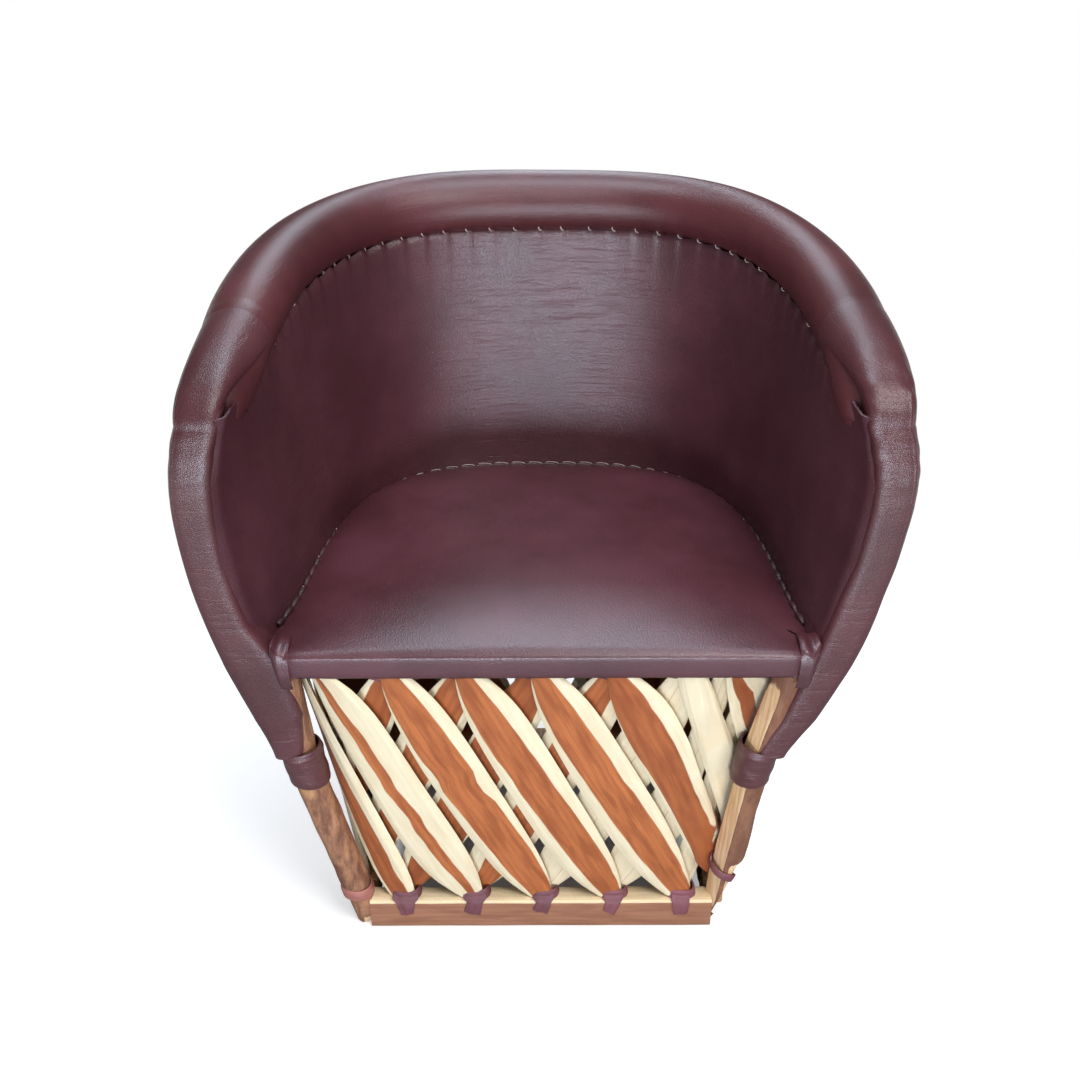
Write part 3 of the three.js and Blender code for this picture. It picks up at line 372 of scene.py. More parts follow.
def stitches(name, frames):
    """One stitch of thread, placed at frames of origin, right, along and up, as one piece."""
    path = [[-0.5, 0, -0.1], [-0.42, 0, 0.12], [-0.2, 0, 0.24], [0.2, 0, 0.24], [0.42, 0, 0.12], [0.5, 0, -0.1]]
    model = smooth(path_tube("stitch", np.asarray(path) * 1000 - SHIFT, 110, sides=6))
    base = coordinates(model)
    copies = []
    for origin, right, along, up in frames:
        copies.append(copied(model))
        spot = metres(origin) + base[:, :1] * right + base[:, 1:2] * along + base[:, 2:] * up
        copies[-1].data.vertices.foreach_set("co", spot.ravel())
    bpy.data.objects.remove(model)
    dress(merged(name, copies), THREAD, "thong_leather")


# ---- Finishes ----

def rgb(red, green, blue):
    values = np.array([red, green, blue]) / 255
    linear = np.where(values <= 0.04045, values / 12.92, ((values + 0.055) / 1.055) ** 2.4)
    return (*linear.tolist(), 1.0)


class Net:
    """The nodes of one material, group or world."""

    def __init__(self, tree):
        self.tree = tree

    def feed(self, made, sockets):
        """Links or sets a node's inputs."""
        for name, value in sockets.items():
            if isinstance(value, bpy.types.NodeSocket):
                self.tree.links.new(value, made.inputs[name])
            else:
                made.inputs[name].default_value = value

    def node(self, kind, sockets=None, **settings):
        made = self.tree.nodes.new("ShaderNode" + kind)
        for name, value in settings.items():
            setattr(made, name, value)
        self.feed(made, sockets or {})
        return made

    def math(self, operation, first, second=0.0, third=0.0, clamp=False):
        sockets = {0: first, 1: second, 2: third}
        return self.node("Math", sockets, operation=operation, use_clamp=clamp).outputs[0]

    def plus(self, first, second):
        return self.math("ADD", first, second)

    def minus(self, first, second, clamp=False):
        return self.math("SUBTRACT", first, second, clamp=clamp)

    def times(self, first, second):
        return self.math("MULTIPLY", first, second)

    def times_plus(self, first, second, third, clamp=False):
        return self.math("MULTIPLY_ADD", first, second, third, clamp)

    def mapped(self, value, low, high, to_low=0.0, to_high=1.0):
        """A smooth step from one range to another."""
        sockets = {0: value, 1: low, 2: high, 3: to_low, 4: to_high}
        return self.node("MapRange", sockets, interpolation_type="SMOOTHSTEP").outputs[0]

    def blended(self, factor, first, second):
        return self.node("Mix", {0: factor, 6: first, 7: second}, data_type="RGBA").outputs[2]

    def noise(self, vector, scale=1.0, detail=2.0, roughness=0.5, distortion=0.0):
        return self.node("TexNoise", {"Vector": vector, "Scale": scale, "Detail": detail,
                                      "Roughness": roughness, "Distortion": distortion}).outputs[0]

    def stretched(self, vector, *scale):
        return self.node("Mapping", {"Vector": vector, "Scale": scale}).outputs[0]

    def turned(self, vector, rotation):
        return self.node("Mapping", {"Vector": vector, "Rotation": rotation}).outputs[0]

    def place(self):
        return self.node("TexCoord").outputs["Object"]

    def read(self, name):
        """A piece's attribute, and its three parts."""
        vector = self.node("Attribute", attribute_name=name).outputs["Vector"]
        return vector, self.node("SeparateXYZ", {0: vector}).outputs

    def ray(self, kind):
        return self.node("LightPath").outputs[f"Is {kind} Ray"]

    def seen_or_mirrored(self):
        """1 for camera, glossy and transmission rays."""
        seen = self.math("MAXIMUM", self.ray("Camera"), self.ray("Glossy"))
        return self.math("MAXIMUM", seen, self.ray("Transmission"))

    def bump(self, shader, height, distance):
        self.feed(shader, {"Normal": self.node("Bump", {"Height": height, "Distance": distance}).outputs[0]})


def group(name, inputs, outputs):
    """A node group whose inputs are numbers, or a vector where no value is given."""
    tree = bpy.data.node_groups.new(name, "ShaderNodeTree")
    for label, value in inputs.items():
        kind = "NodeSocketVector" if value is None else "NodeSocketFloat"
        socket = tree.interface.new_socket(label, in_out="INPUT", socket_type=kind)
        if value is not None:
            socket.default_value = value
    for label in outputs:
        tree.interface.new_socket(label, in_out="OUTPUT", socket_type="NodeSocketFloat")
    return Net(tree), tree.nodes.new("NodeGroupInput").outputs, tree.nodes.new("NodeGroupOutput")


def leather_group():
    """Hide: soft mottling, a pebbled grain, level stretch wrinkles with painted shade along them, and a few
    scuffs.
    """
    net, given, out = group("hide", {"Vector": None, "Grain": 900.0, "Creases": 0.5},
                            ["Tone", "Rough", "Height"])
    vector = given["Vector"]
    mottle = net.noise(vector, 7.0, 6.0, 0.6)
    cells = net.node("TexVoronoi", {"Vector": vector, "Scale": given["Grain"]}, feature="F1")
    pores = net.noise(vector, 420.0, 3.0)
    folds = net.noise(net.stretched(vector, 16.0, 16.0, 190.0), 1.0, 4.0, 0.62, 0.7)
    line = net.times(net.mapped(folds, 0.5, 0.66), net.mapped(mottle, 0.4, 0.62))
    crease = net.times(line, given["Creases"])
    scuff = net.mapped(net.noise(vector, 46.0, 8.0, 0.75), 0.63, 0.74)
    height = net.times_plus(cells.outputs["Distance"], 0.34, net.times(pores, 0.4))
    # the tone is darker along the creases: painted shade in them
    tone = net.minus(net.mapped(mottle, 0.3, 0.72), net.times(crease, 0.35), clamp=True)
    rough = net.times_plus(pores, 0.12, net.times(mottle, 0.1))
    net.feed(out, {"Tone": net.times_plus(scuff, 0.25, tone, clamp=True),
                   "Rough": net.times_plus(scuff, 0.1, rough), "Height": net.minus(height, crease)})
    return net.tree


def grain_group():
    """Split wood: x runs along the grain. Broad streaks, fine fibres, growth lines and their relief."""
    net, given, out = group("split_grain", {"Vector": None, "Rings": 40.0, "Wander": 6.0},
                            ["Rings", "Fibre", "Height"])
    vector = given["Vector"]
    rings = net.node("TexWave", {"Vector": net.stretched(vector, 0.12, 1.0, 1.0), "Scale": given["Rings"],
                                 "Distortion": given["Wander"], "Detail": 4.0, "Detail Scale": 1.4,
                                 "Detail Roughness": 0.65}, bands_direction="Y", wave_profile="SIN")
    streaks = net.noise(net.stretched(vector, 3.5, 150.0, 150.0), 1.0, 5.0, 0.6)
    fibre = net.noise(net.stretched(vector, 13.0, 700.0, 700.0), 1.0, 4.0, 0.65)
    lines = net.times(net.mapped(rings.outputs["Fac"], 0.05, 0.6), 0.35)
    lines = net.times_plus(net.mapped(streaks, 0.32, 0.66), 0.65, lines)
    height = net.times_plus(lines, 0.45, net.times(fibre, 0.7))
    net.feed(out, {"Rings": lines, "Fibre": fibre, "Height": height})
    return net.tree


HIDE = leather_group()
GRAIN = grain_group()


def material(name):
    made = bpy.data.materials.new(name)
    made.use_nodes = True
    shader = next(n for n in made.node_tree.nodes if n.bl_idname == "ShaderNodeBsdfPrincipled")
    return made, Net(made.node_tree), shader


def leather(name, dark, light, creases=0.5, rough=0.36, depth=0.0005, grain=900.0, gloss=0.75):
    made, net, shader = material(name)
    hide = net.node("Group", {"Vector": net.place(), "Creases": creases, "Grain": grain},
                    node_tree=HIDE).outputs
    net.feed(shader, {"Base Color": net.blended(hide["Tone"], rgb(*dark), rgb(*light)),
                      "Roughness": net.plus(hide["Rough"], rough), "Specular IOR Level": gloss})
    net.bump(shader, hide["Height"], depth)
    return made


def slat_wood(name, heart_dark, heart, sap_dark, sap):
    """Heartwood down the middle of a slat and sapwood along its edges."""
    made, net, shader = material(name)
    where, place = net.read("grain")
    look, (heart_half, darkness, wander) = net.read("look")
    grain = net.node("Group", {"Vector": where}, node_tree=GRAIN).outputs
    moved = net.node("VectorMath", {0: net.stretched(where, 11.0, 0.0, 0.0), 1: look}, operation="ADD")
    sway = net.times(net.minus(net.noise(moved.outputs[0], 1.0, 2.5), 0.5), wander)
    reach = net.math("ABSOLUTE", net.plus(place[2], sway))
    sapwood = net.mapped(net.minus(reach, heart_half), -0.02, 0.03)
    fibre = net.mapped(grain["Fibre"], 0.3, 0.7)
    lines = net.times_plus(fibre, 0.55, net.times(grain["Rings"], 0.45))
    patch = net.noise(net.stretched(where, 16.0, 90.0, 0.0), 1.0, 3.0)
    lines = net.times(lines, net.mapped(patch, 0.35, 0.6, 0.55, 1.1))
    brown = net.blended(lines, heart_dark, heart)
    brown = net.blended(net.times(darkness, 0.55), brown, heart_dark)
    cream = net.blended(net.times_plus(lines, 0.6, 0.4, clamp=True), sap_dark, sap)
    net.feed(shader, {"Base Color": net.blended(sapwood, brown, cream),
                      "Roughness": net.mapped(fibre, 0.0, 1.0, 0.62, 0.48)})
    net.bump(shader, grain["Height"], 0.0005)
    return made


def plain_wood(name, dark, light, turn, wander=5.0):
    """Wood whose grain follows one of the chair's own directions."""
    made, net, shader = material(name)
    place = net.place()
    grain = net.node("Group", {"Vector": net.turned(place, turn), "Rings": 38.0, "Wander": wander},
                     node_tree=GRAIN).outputs
    lines = net.times_plus(net.mapped(grain["Fibre"], 0.3, 0.72), 0.5,
                           net.times(net.mapped(grain["Rings"], 0.1, 0.95), 0.5))
    lines = net.times(lines, net.mapped(net.noise(place, 9.0, 3.0), 0.3, 0.6, 0.6, 1.0))
    net.feed(shader, {"Base Color": net.blended(lines, dark, light), "Roughness": 0.6})
    net.bump(shader, grain["Height"], 0.0005)
    return made


def bark_wood(name, bark_dark, bark, ochre, cut):
    """A leg: bark with worn patches, and bare split wood where the cut attribute says."""
    made, net, shader = material(name)
    place = net.place()
    _, (split, wear, darkness) = net.read("cut")
    tall = net.stretched(place, 1.0, 1.0, 0.3)
    mottle = net.noise(tall, 70.0, 6.0, 0.7)
    patch = net.noise(tall, 26.0, 4.0, 0.6)
    grain = net.node("Group", {"Vector": net.turned(place, (0, math.pi / 2, 0)), "Rings": 45.0},
                     node_tree=GRAIN).outputs
    skin = net.blended(net.mapped(mottle, 0.36, 0.66), bark_dark, bark)
    worn = net.times(net.mapped(patch, 0.55, 0.66), wear)
    skin = net.blended(darkness, net.blended(worn, skin, ochre), bark_dark)
    lines = net.times_plus(grain["Fibre"], 0.6, net.times(grain["Rings"], 0.4))
    bare = net.blended(net.mapped(lines, 0.2, 0.85), ochre, cut)
    opened = net.mapped(net.times_plus(net.minus(mottle, 0.5), 0.5, split), 0.46, 0.54)
    net.feed(shader, {"Base Color": net.blended(opened, skin, bare), "Roughness": 0.7})
    rough = net.times(mottle, net.minus(1.0, opened))
    net.bump(shader, net.times_plus(grain["Height"], 0.35, rough), 0.0012)
    return made


OXBLOOD = leather("oxblood_leather", (66, 28, 33), (86, 40, 47), creases=0.35)
LINING_HIDE = leather("lining_leather", (66, 31, 38), (86, 45, 53), creases=0.35, rough=0.26, depth=0.0006)
ROLL_HIDE = leather("rim_leather", (68, 29, 32), (88, 41, 44), creases=0.2, rough=0.25, gloss=0.5)
SEAT_HIDE = leather("seat_leather", (70, 32, 39), (90, 46, 55), creases=0.06, rough=0.25, grain=760.0)
BAND_HIDE = leather("arm_leather", (70, 33, 37), (90, 47, 51), rough=0.26, depth=0.0006, gloss=0.68)
SHOULDER_HIDE = leather("shoulder_leather", (69, 32, 36), (89, 46, 50), rough=0.26, depth=0.0006, gloss=0.62)
THONG = leather("thong_leather", (90, 42, 50), (136, 76, 84), rough=0.5, grain=1400.0)
DARK_THONG = leather("dark_thong", (44, 18, 22), (72, 34, 38), rough=0.4, grain=1400.0)
PINK_THONG = leather("pale_thong", (150, 84, 76), (206, 140, 122), creases=0.6, rough=0.5, grain=1400.0)
THREAD = leather("waxed_thread", (140, 112, 108), (190, 168, 160), creases=0.0, rough=0.3, grain=2600.0)
SLAT = slat_wood("split_slat", rgb(136, 62, 26), rgb(226, 134, 74), rgb(228, 194, 142), rgb(255, 242, 210))
RAIL = slat_wood("sawn_rail", rgb(136, 86, 62), rgb(188, 132, 100), rgb(228, 186, 134), rgb(255, 236, 196))
POLE = plain_wood("peeled_pole", rgb(150, 108, 68), rgb(206, 168, 118), turn=(0, 0, math.pi / 2), wander=8.0)
STICK = plain_wood("peeled_stick", rgb(160, 118, 76), rgb(214, 178, 128), turn=(0, math.pi / 2, 0))
BARK = bark_wood("barked_leg", rgb(116, 74, 54), rgb(182, 130, 96), rgb(204, 156, 104), rgb(246, 214, 176))


# ---- Camera, light and floor ----

FLOOR_GLOW = (0.4, 0.4, 0.4, 1)  # what the lit floor lacks to white
MIRRORED_WHITE = 0.16  # the hide mirrors a dimmer room than the white that the camera sees
BLACK, WHITE = (0, 0, 0, 1), (1, 1, 1, 1)
BLUISH = (0.78, 0.88, 1, 1)


def lamp(name, place, target, size, power, tint, deep=None):
    bpy.ops.object.light_add(type="AREA", location=place)
    light = bpy.context.object
    light.name = name
    light.data.shape = "ELLIPSE" if deep else "DISK"
    light.data.size = size
    light.data.size_y = deep or size
    light.data.color = tint[:3]
    light.visible_camera = False
    light.data.energy = power
    aim = np.asarray(target, float) - np.asarray(place, float)
    light.rotation_euler = (math.atan2(math.hypot(aim[0], aim[1]), -aim[2]), 0,
                            math.atan2(aim[0], -aim[1]) + math.pi)


def studio_world():
    world = bpy.data.worlds.new("studio")
    bpy.context.scene.world = world
    world.use_nodes = True
    world.node_tree.nodes.clear()
    net = Net(world.node_tree)
    light = net.node("Background", {"Color": (0.95, 0.96, 1.0, 1), "Strength": 0.42})
    strength = net.mapped(net.ray("Glossy"), 0.0, 1.0, 1.0, MIRRORED_WHITE)
    white = net.node("Background", {"Color": WHITE, "Strength": strength})
    mix = net.node("MixShader", {0: net.seen_or_mirrored(), 1: light.outputs[0], 2: white.outputs[0]})
    net.node("OutputWorld", {0: mix.outputs[0]})


def studio_floor():
    """Pale and matt near the chair, and plain white further out. The chair's shadow stays on it; inside the
    drum the floor is darker still, a painted shade, and in reflections it is painted dark near the chair.
    """
    bpy.ops.mesh.primitive_plane_add(size=30, location=(0, 0, -0.0006))
    floor = bpy.context.object
    floor.name = "floor"
    made, net, shader = material("pale_floor")
    place = net.place()
    away = net.node("VectorMath", {0: place}, operation="LENGTH").outputs["Value"]
    far = net.mapped(away, 0.6, 1.3)
    seen = net.ray("Camera")
    # darker for every ray but the camera's: painted shade in what the hide mirrors, and less light bounced on
    # to the chair
    near = net.blended(seen, (0.34, 0.34, 0.34, 1), (0.85, 0.85, 0.85, 1))
    # painted shade: inside the drum the floor's glow is taken away, so the floor is darker there
    beside = net.node("Mapping", {"Vector": place, "Location": (0.02, 0.27, 0), "Scale": (5.2, 6.8, 0)})
    spread = net.node("VectorMath", {0: beside.outputs[0]}, operation="ABSOLUTE")
    spread = net.node("SeparateXYZ", {0: spread.outputs[0]}).outputs
    outside = net.mapped(net.math("MAXIMUM", spread[0], spread[1]), 0.88, 1.02)
    glow = net.blended(outside, (0.02, 0.02, 0.02, 1), FLOOR_GLOW)
    # painted shade in reflections: the floor that glossy rays see glows black near the chair and white further
    # out
    mirrored = net.blended(net.mapped(away, 0.75, 1.5), BLACK, WHITE)
    shown = net.blended(seen, mirrored, net.blended(far, glow, WHITE))
    net.feed(shader, {"Base Color": net.blended(far, near, BLACK), "Roughness": 1.0, "Specular IOR Level": 0.0,
                      "Emission Color": net.blended(net.seen_or_mirrored(), BLACK, shown),
                      "Emission Strength": 1.0})
    floor.data.materials.append(made)


def studio():
    bpy.ops.object.camera_add(location=(0.00136, -1.31389, 1.17506), rotation=(math.radians(58.36), 0, 0))
    camera = bpy.context.object
    camera.name = "camera"
    camera.rotation_euler.rotate_axis("Z", math.radians(-0.16))
    camera.data.lens = 43.15
    camera.data.sensor_width = 36
    camera.data.shift_x = -0.0037
    camera.data.shift_y = 0.04506
    bpy.context.scene.camera = camera
    bpy.context.scene.view_settings.view_transform = "Standard"
    lamp("overhead", (0.0, 0.12, 2.3), (0, 0, 0.5), 1.0, 22, BLUISH)
    lamp("key", (0.8, -1.6, 2.5), (0, 0, 0.3), 1.2, 42, WHITE)
    lamp("back", (0.0, 2.1, 2.0), (0, 0.2, 0.75), 0.9, 18, BLUISH, deep=1.5)
    lamp("front", (0.0, -2.7, 0.2), (0, 0, 0.45), 1.9, 54, BLUISH, deep=0.36)
    lamp("bounce", (0.0, -2.0, 0.02), (0, -1.99, 1.0), 1.5, 11, BLUISH, deep=0.9)
    lamp("near bounce", (0.0, -1.0, 0.02), (0, -0.99, 1.0), 1.4, 3, BLUISH, deep=0.4)
    studio_world()
    studio_floor()


studio()


# ---- Seat ----

def seat_outline(columns=300):
    """The seat's plan: round the back and sides, then along the front. Also which points are in front."""
    turn, _ = plan_turns(columns + 1, SEAT_PLAN)
    sides = wall("lining", turn, np.full(columns + 1, 427.0), -0.8)[:, :2]
    front = np.stack([SEAT_HALF * np.linspace(-1, 1, 100)[1:-1], np.zeros(98)], -1)
    plan = np.concatenate([sides, [[-267, 15], [-265, 5]], front, [[265, 5], [267, 15]], sides[:1]])
    is_front = np.zeros(len(plan))
    is_front[columns + 2:len(plan) - 2] = 1
    return plan, is_front


def seat_crown(flat):
    """1 in the middle of the seat, falling smoothly to its edges."""
    across = 1 - np.minimum(np.abs(flat[:, 0]) / 267, 1) ** 2.7
    back = 1 - fade(flat[:, 1], 170, 272) ** 2.4
    front = 1 - 0.97 * np.clip((104 - flat[:, 1]) / 104, 0, 1) ** 1.9
    return across * back * front


def seat():
    plan, is_front = seat_outline()
    run = np.concatenate([[0], np.cumsum(np.hypot(*np.diff(plan, axis=0).T))])
    hub = np.array([0, 205.0])
    pucker = np.abs(np.sin(math.pi * run / SEAT_PITCH))
    rows = []
    for share in np.linspace(0, 1, 58) ** 0.75:
        flat = hub + (plan - hub) * share
        crown = 25 * seat_crown(flat)
        away = (1 - share) * np.linalg.norm(plan - hub, axis=1)
        in_front = -3.4 * np.exp(-(away / 5.0) ** 1.4) + 0.2 * np.exp(-((away - 9) / 5) ** 2)
        round_it = -7.0 * np.exp(-away / 9) + 2.8 * pucker * np.exp(-away / 6)
        z = SEAT_TOP + crown + np.where(is_front > 0, in_front, round_it)
        xyz = np.concatenate([flat, z[:, None]], 1)
        xyz[:, 2] += wobble(xyz, 0.8, 60, 3) * np.clip(away / 40, 0, 1)
        rows.append(xyz)
    edge = rows[-1]
    for drop, lead in ((1.2, 0.7), (3.5, 0.9), (8, 0.6), (13, 0.2), (18, -0.3), (22, -0.8), (25.5, -1.3),
                       (27.6, -2.2)):
        row = edge.copy()
        row[:, 2] = np.where(is_front > 0, SEAT_TOP - 2 - drop, edge[:, 2] - np.minimum(drop * 0.5, 9))
        row[:, 1] -= np.where(is_front > 0, lead - 0.8, 0)
        row[:, 2] += np.where(is_front > 0, wobble(row, 0.35, 50, 8), 0)
        rows.append(row)
    for back in (2.0, 8.0, 16.0, 25.0):
        row = rows[-1].copy()
        row[:, 1] = np.where(is_front > 0, back, row[:, 1])
        row[:, 2] = np.where(is_front > 0, 411.2, row[:, 2])
        rows.append(row)
    piece = in_edit(grid_piece("seat", rows), weld)
    modify(piece, "SMOOTH", factor=0.5, iterations=2)
    dress(smooth(piece), SEAT_HIDE, "leather", "seat_cover")


def seat_piping():
    """A twisted thong that lies in the joint between the seat and the lining."""
    turn, length = plan_turns(760, SEAT_PLAN, 0.03, 0.97)
    twist = np.abs(np.sin(math.pi * np.linspace(0, length, 760) / SEAT_PITCH))
    path = wall("lining", turn, 437.2 + 1.2 * twist, -2.8)
    path[:, 2] += 1.5 * np.exp(-path[:, 1] / 60)
    side_on = np.abs(np.cos(turn)) ** 0.5
    piece = path_tube("seat_piping", path, 1.5 + (0.5 + 1.1 * side_on) * twist ** 0.7, sides=9)
    dress(smooth(piece), DARK_THONG, "thong_leather")


def seat_stitches():
    """Long light stitches along the back, short ones on the sides."""
    count = 2 * round(1100 / SEAT_PITCH) + 1
    turn, _ = plan_turns(count, SEAT_PLAN, 0.045, 0.955)
    frames = []
    for k in range(1, count - 1, 2):
        before, spot, after = wall("lining", turn[k - 1:k + 2], np.full(3, SEAT_TOP), -3.2)
        run = unit(after - before)
        at_back = math.sin(turn[k]) ** 3
        if at_back < 0.3 and k % 6 != 1:
            continue
        slant = unit(run * 0.95 + np.cross(run, Z_AXIS) * (0.3 - 0.12 * at_back))
        size = 0.0026 + 0.0134 * at_back
        frames.append((spot, slant * size, np.cross(Z_AXIS, slant) * 0.0042, Z_AXIS * 0.0062))
    stitches("seat_stitches", frames)


def seat_gusset(hand):
    """The hide that is folded over a leg's top, between the seat's corner and the arm band."""
    side = SIDES[hand]
    path = curve_through([[0, 38, 441], [0, 24, 444], [0, 12, 443], [0, 4.0, 439], [0, 1.4, 431], [0, 1.4, 421],
                          [0, 2.2, 412], [0, 5.0, 402], [0, 11.0, 392]], 34)
    reach = band_inside(side, 430.0) + 4
    across = np.linspace(257, reach, 22)
    rows = []
    for spot in path:
        row = np.stack([side * across, 0 * across + spot[1], 0 * across + spot[2]], -1)
        low = np.clip((430 - spot[2]) / 40, 0, 1)
        row[:, 0] -= side * low * np.linspace(0, 5, 22)
        folds = 1.3 * np.sin(across / 2.6 + spot[2] / 7.0 + side) * fade(spot[2], 432, 8)
        row[:, 2] += folds
        row[:, 1] -= folds * 0.4 + wobble(row, 0.4, 16, side)
        tuck = fade(across, reach - 8, 8) ** 1.4
        row[:, 1] += np.maximum(front_plane(spot[2]) - 17 - row[:, 1], 0) * tuck
        rows.append(row)
    dress(thickened(grid_piece(f"seat_gusset_{hand}", rows), 0.0022, 0.0, levels=1), SEAT_HIDE, "leather")


seat()
seat_piping()
seat_stitches()
for hand in SIDES:
    seat_gusset(hand)


# ---- Lining and cover ----


def from_end(count):
    """How many points each one is from the nearer end of a row."""
    return np.minimum(np.arange(count), np.arange(count)[::-1])


def lining():
    columns, rows, low = 400, 84, 433
    turn, length = plan_turns(columns, LINING_PLAN)
    phase = seam_phase(turn)
    top, clear = wall_top(turn, phase / TABS, 0.16, 694, 24.5)
    rise = tab_rise(phase)
    lap = from_end(columns)
    grid = []
    for k in range(rows):
        z = low + (top - low) * (1 - (1 - k / (rows - 1)) ** 1.25)
        down = top - z
        near = np.exp(-down / 15)
        fan = np.exp(-down / 26)
        pull = 1.2 * fan * (rise - 0.5) * clear
        curl = 3.6 * np.exp(-(down / 4.0) ** 1.5) * clear
        foot = 2.2 * np.exp(-(z - low) / 7)
        uneven = wobble(wall("lining", turn, z), 1.3, 85, 1) * (1 - near) * fade(z, 436, 40)
        xyz = wall("lining", turn, z, 0.6 + curl - foot - pull + uneven)
        xyz[:, 2] += near * (4.6 * rise - 2.0) * clear
        xyz[:, 0] += np.sign(np.cos(turn)) * 8.0 * np.clip(1 - lap / 3.0, 0, 1) ** 1.5
        xyz[:, 1] -= 12.5 * np.clip(1 - lap / 9.0, 0, 1) ** 1.3 * np.clip((664 - z) / 30, 0, 1)
        grid.append(xyz)
    piece = thickened(grid_piece("lining", np.transpose(grid, (1, 0, 2))), 0.0022, 1.0)
    dress(piece, LINING_HIDE, "leather", "back_lining")


def cover_rows(columns, hem=398.0):
    turn, length = plan_turns(columns, COVER_PLAN)
    top, _ = wall_top(turn, np.linspace(0, 1, columns), 0.09, 686, 13)
    at_foot = wall("cover", turn, np.full(columns, hem))
    foot = hem - 92 * np.exp(-np.maximum(at_foot[:, 1] - front_plane(hem) - 21, 0) / 55)
    return turn, length, top, foot


def cover():
    columns, rows = 400, 72
    turn, length, top, foot = cover_rows(columns)
    rise = np.abs(np.sin(math.pi * np.linspace(0, length, columns) / PITCH))
    lap = np.clip(1 - from_end(columns) / 4.0, 0, 1)
    grid = []
    for k in range(rows):
        z = foot + (top - foot) * k / (rows - 1)
        near_top = np.exp(-(top - z) / 20)
        hem = np.exp(-((z - foot - 5) / 4.5) ** 2)
        drape = wobble(wall("cover", turn, z), 1.7, 95, 5) * (1 - near_top)
        xyz = wall("cover", turn, z, drape - 1.2 * near_top * (1 - rise) + hem * 1.3 - 1.4)
        xyz[:, 1] -= 6.5 * lap
        xyz[:, 0] += np.sign(np.cos(turn)) * 2.2 * lap
        grid.append(xyz)
    piece = thickened(grid_piece("cover", np.transpose(grid, (1, 0, 2))), 0.0026)
    dress(piece, OXBLOOD, "leather", "back_cover")


def hem_stitches():
    """Thread along the cover's hem."""
    turn, _, _, foot = cover_rows(301)
    frames = []
    for k in range(6, 294, 3):
        before, spot, after = wall("cover", turn[k - 1:k + 2], foot[k - 1:k + 2] + 10, 0.1)
        run = unit(after - before)
        out = -unit(np.cross(Z_AXIS, run))
        frames.append((spot, run * 0.0068, np.cross(out, run) * 0.0045, out * 0.0036))
    stitches("hem_stitches", frames)


lining()
cover()
hem_stitches()


# ---- Padded rim ----

def rim_stations(count=37, fine=8):
    """The roll's middle line, the way out, its radius and its place on the rim, from nose to nose."""
    turn, _ = plan_turns(count, RIM_PLAN, ROLL_START, 1 - ROLL_START)
    centre, out = rim_point(turn)
    radius = np.full(count, ROLL)
    radius[[0, -1]] *= 0.94
    radius[[1, -2]] *= 0.98
    noses = []
    for side in (1, -1):
        nose = np.array([[309, 49, 655], [308, 51, 662], [307, 55, 675], [306, 63, 691]], float)
        noses.append((nose + [-2 if side > 0 else 0, 0, 0]) * [side, 1, 1])
    size = np.array([0.22, 0.45, 0.67, 0.86]) * ROLL
    centre[-7:, 0] += [0.6, 1.2, 2.2, 3.4, 4.6, 5.4, 6.0]
    centre = np.concatenate([noses[0], centre, noses[1][::-1]])
    radius = np.concatenate([size, radius, size[::-1]])
    out = np.concatenate([np.tile([1, 0, 0], (4, 1)), out, np.tile([-1, 0, 0], (4, 1))])
    turn = np.concatenate([np.full(4, turn[0]), turn, np.full(4, turn[-1])])
    knots = len(centre)
    share = np.linspace(0, 1, (knots - 1) * fine + 1)
    even = np.linspace(0, 1, knots)
    centre, out = (spread_along(table, even, share) for table in (centre, out))
    return centre, unit(out), smooth_table(even, radius, share), np.interp(share, even, turn)


def roll_frame():
    centre, out, radius, turn = rim_stations()
    run = unit(np.gradient(centre, axis=0))
    side = unit(out - (out * run).sum(1)[:, None] * run)
    up = np.cross(run, side)
    up *= np.sign(up[len(up) // 2, 2])
    return centre, run, side, up, radius, turn


def angle_from(turn, place):
    """How far round from a place, from minus half a turn to half a turn."""
    return (turn - place + math.pi) % ROUND - math.pi


def roll_rings(turn):
    """The roll's sections, with the dents of its seams."""
    centre, _, side, up, radius, at = roll_frame()
    rise = tab_rise(seam_phase(at))
    rows = []
    for k in range(len(centre)):
        full = min(1, radius[k] / ROLL) ** 3
        off = angle_from(turn, seam_place(at[k]) + 0.05)
        dent = np.exp(-(off / 0.17) ** 2) * (3.0 - 1.6 * rise[k]) * full
        dent += np.exp(-(off / 0.42) ** 2) * 0.9 * (1 - rise[k]) * full
        outer = angle_from(turn, math.radians(325))
        dent += np.exp(-(outer / 0.1) ** 2) * (1.3 - 0.5 * rise[k]) * full
        away = ring(centre[k], side[k], up[k], turn, 1, 1) - centre[k]
        size = radius[k] - dent + wobble(centre[k] + away * radius[k], 0.8, 75, 2)
        rows.append(centre[k] + away * size[:, None])
    return rows


def rim_roll():
    centre, run, side, up, radius, _ = roll_frame()
    turn = np.linspace(0, ROUND, 85)
    tip = [(0.0, -0.9), (0.45, -0.78), (0.8, -0.5)]
    caps = [[ring(centre[j] + way * run[j] * radius[j] * back, side[j], up[j], turn, radius[j] * size,
                  radius[j] * size) for size, back in tip] for j, way in ((0, 1), (-1, -1))]
    piece = in_edit(grid_piece("roll", caps[0] + roll_rings(turn) + caps[1][::-1]), weld, outward)
    dress(smooth(piece), ROLL_HIDE, "leather", "rim_roll")


def band_lines(side, height, turn):
    """Relief of a band's hide: a fold that runs down it, and creases across its shoulder."""
    fold_place, seam_place, creased = (-58, 160, 0.4) if side > 0 else (-128, 20, 0.15)
    fold = np.exp(-(angle_from(turn, math.radians(fold_place)) / 0.1) ** 2) * fade(height, 470, 120)
    across = np.sin(height / 3.4 + 2.2 * np.sin(turn * 2 + side)) * fade(height, 600, 60) * creased
    seam = -0.9 * np.exp(-(angle_from(turn, math.radians(seam_place)) / 0.07) ** 2)
    return fold + across + seam


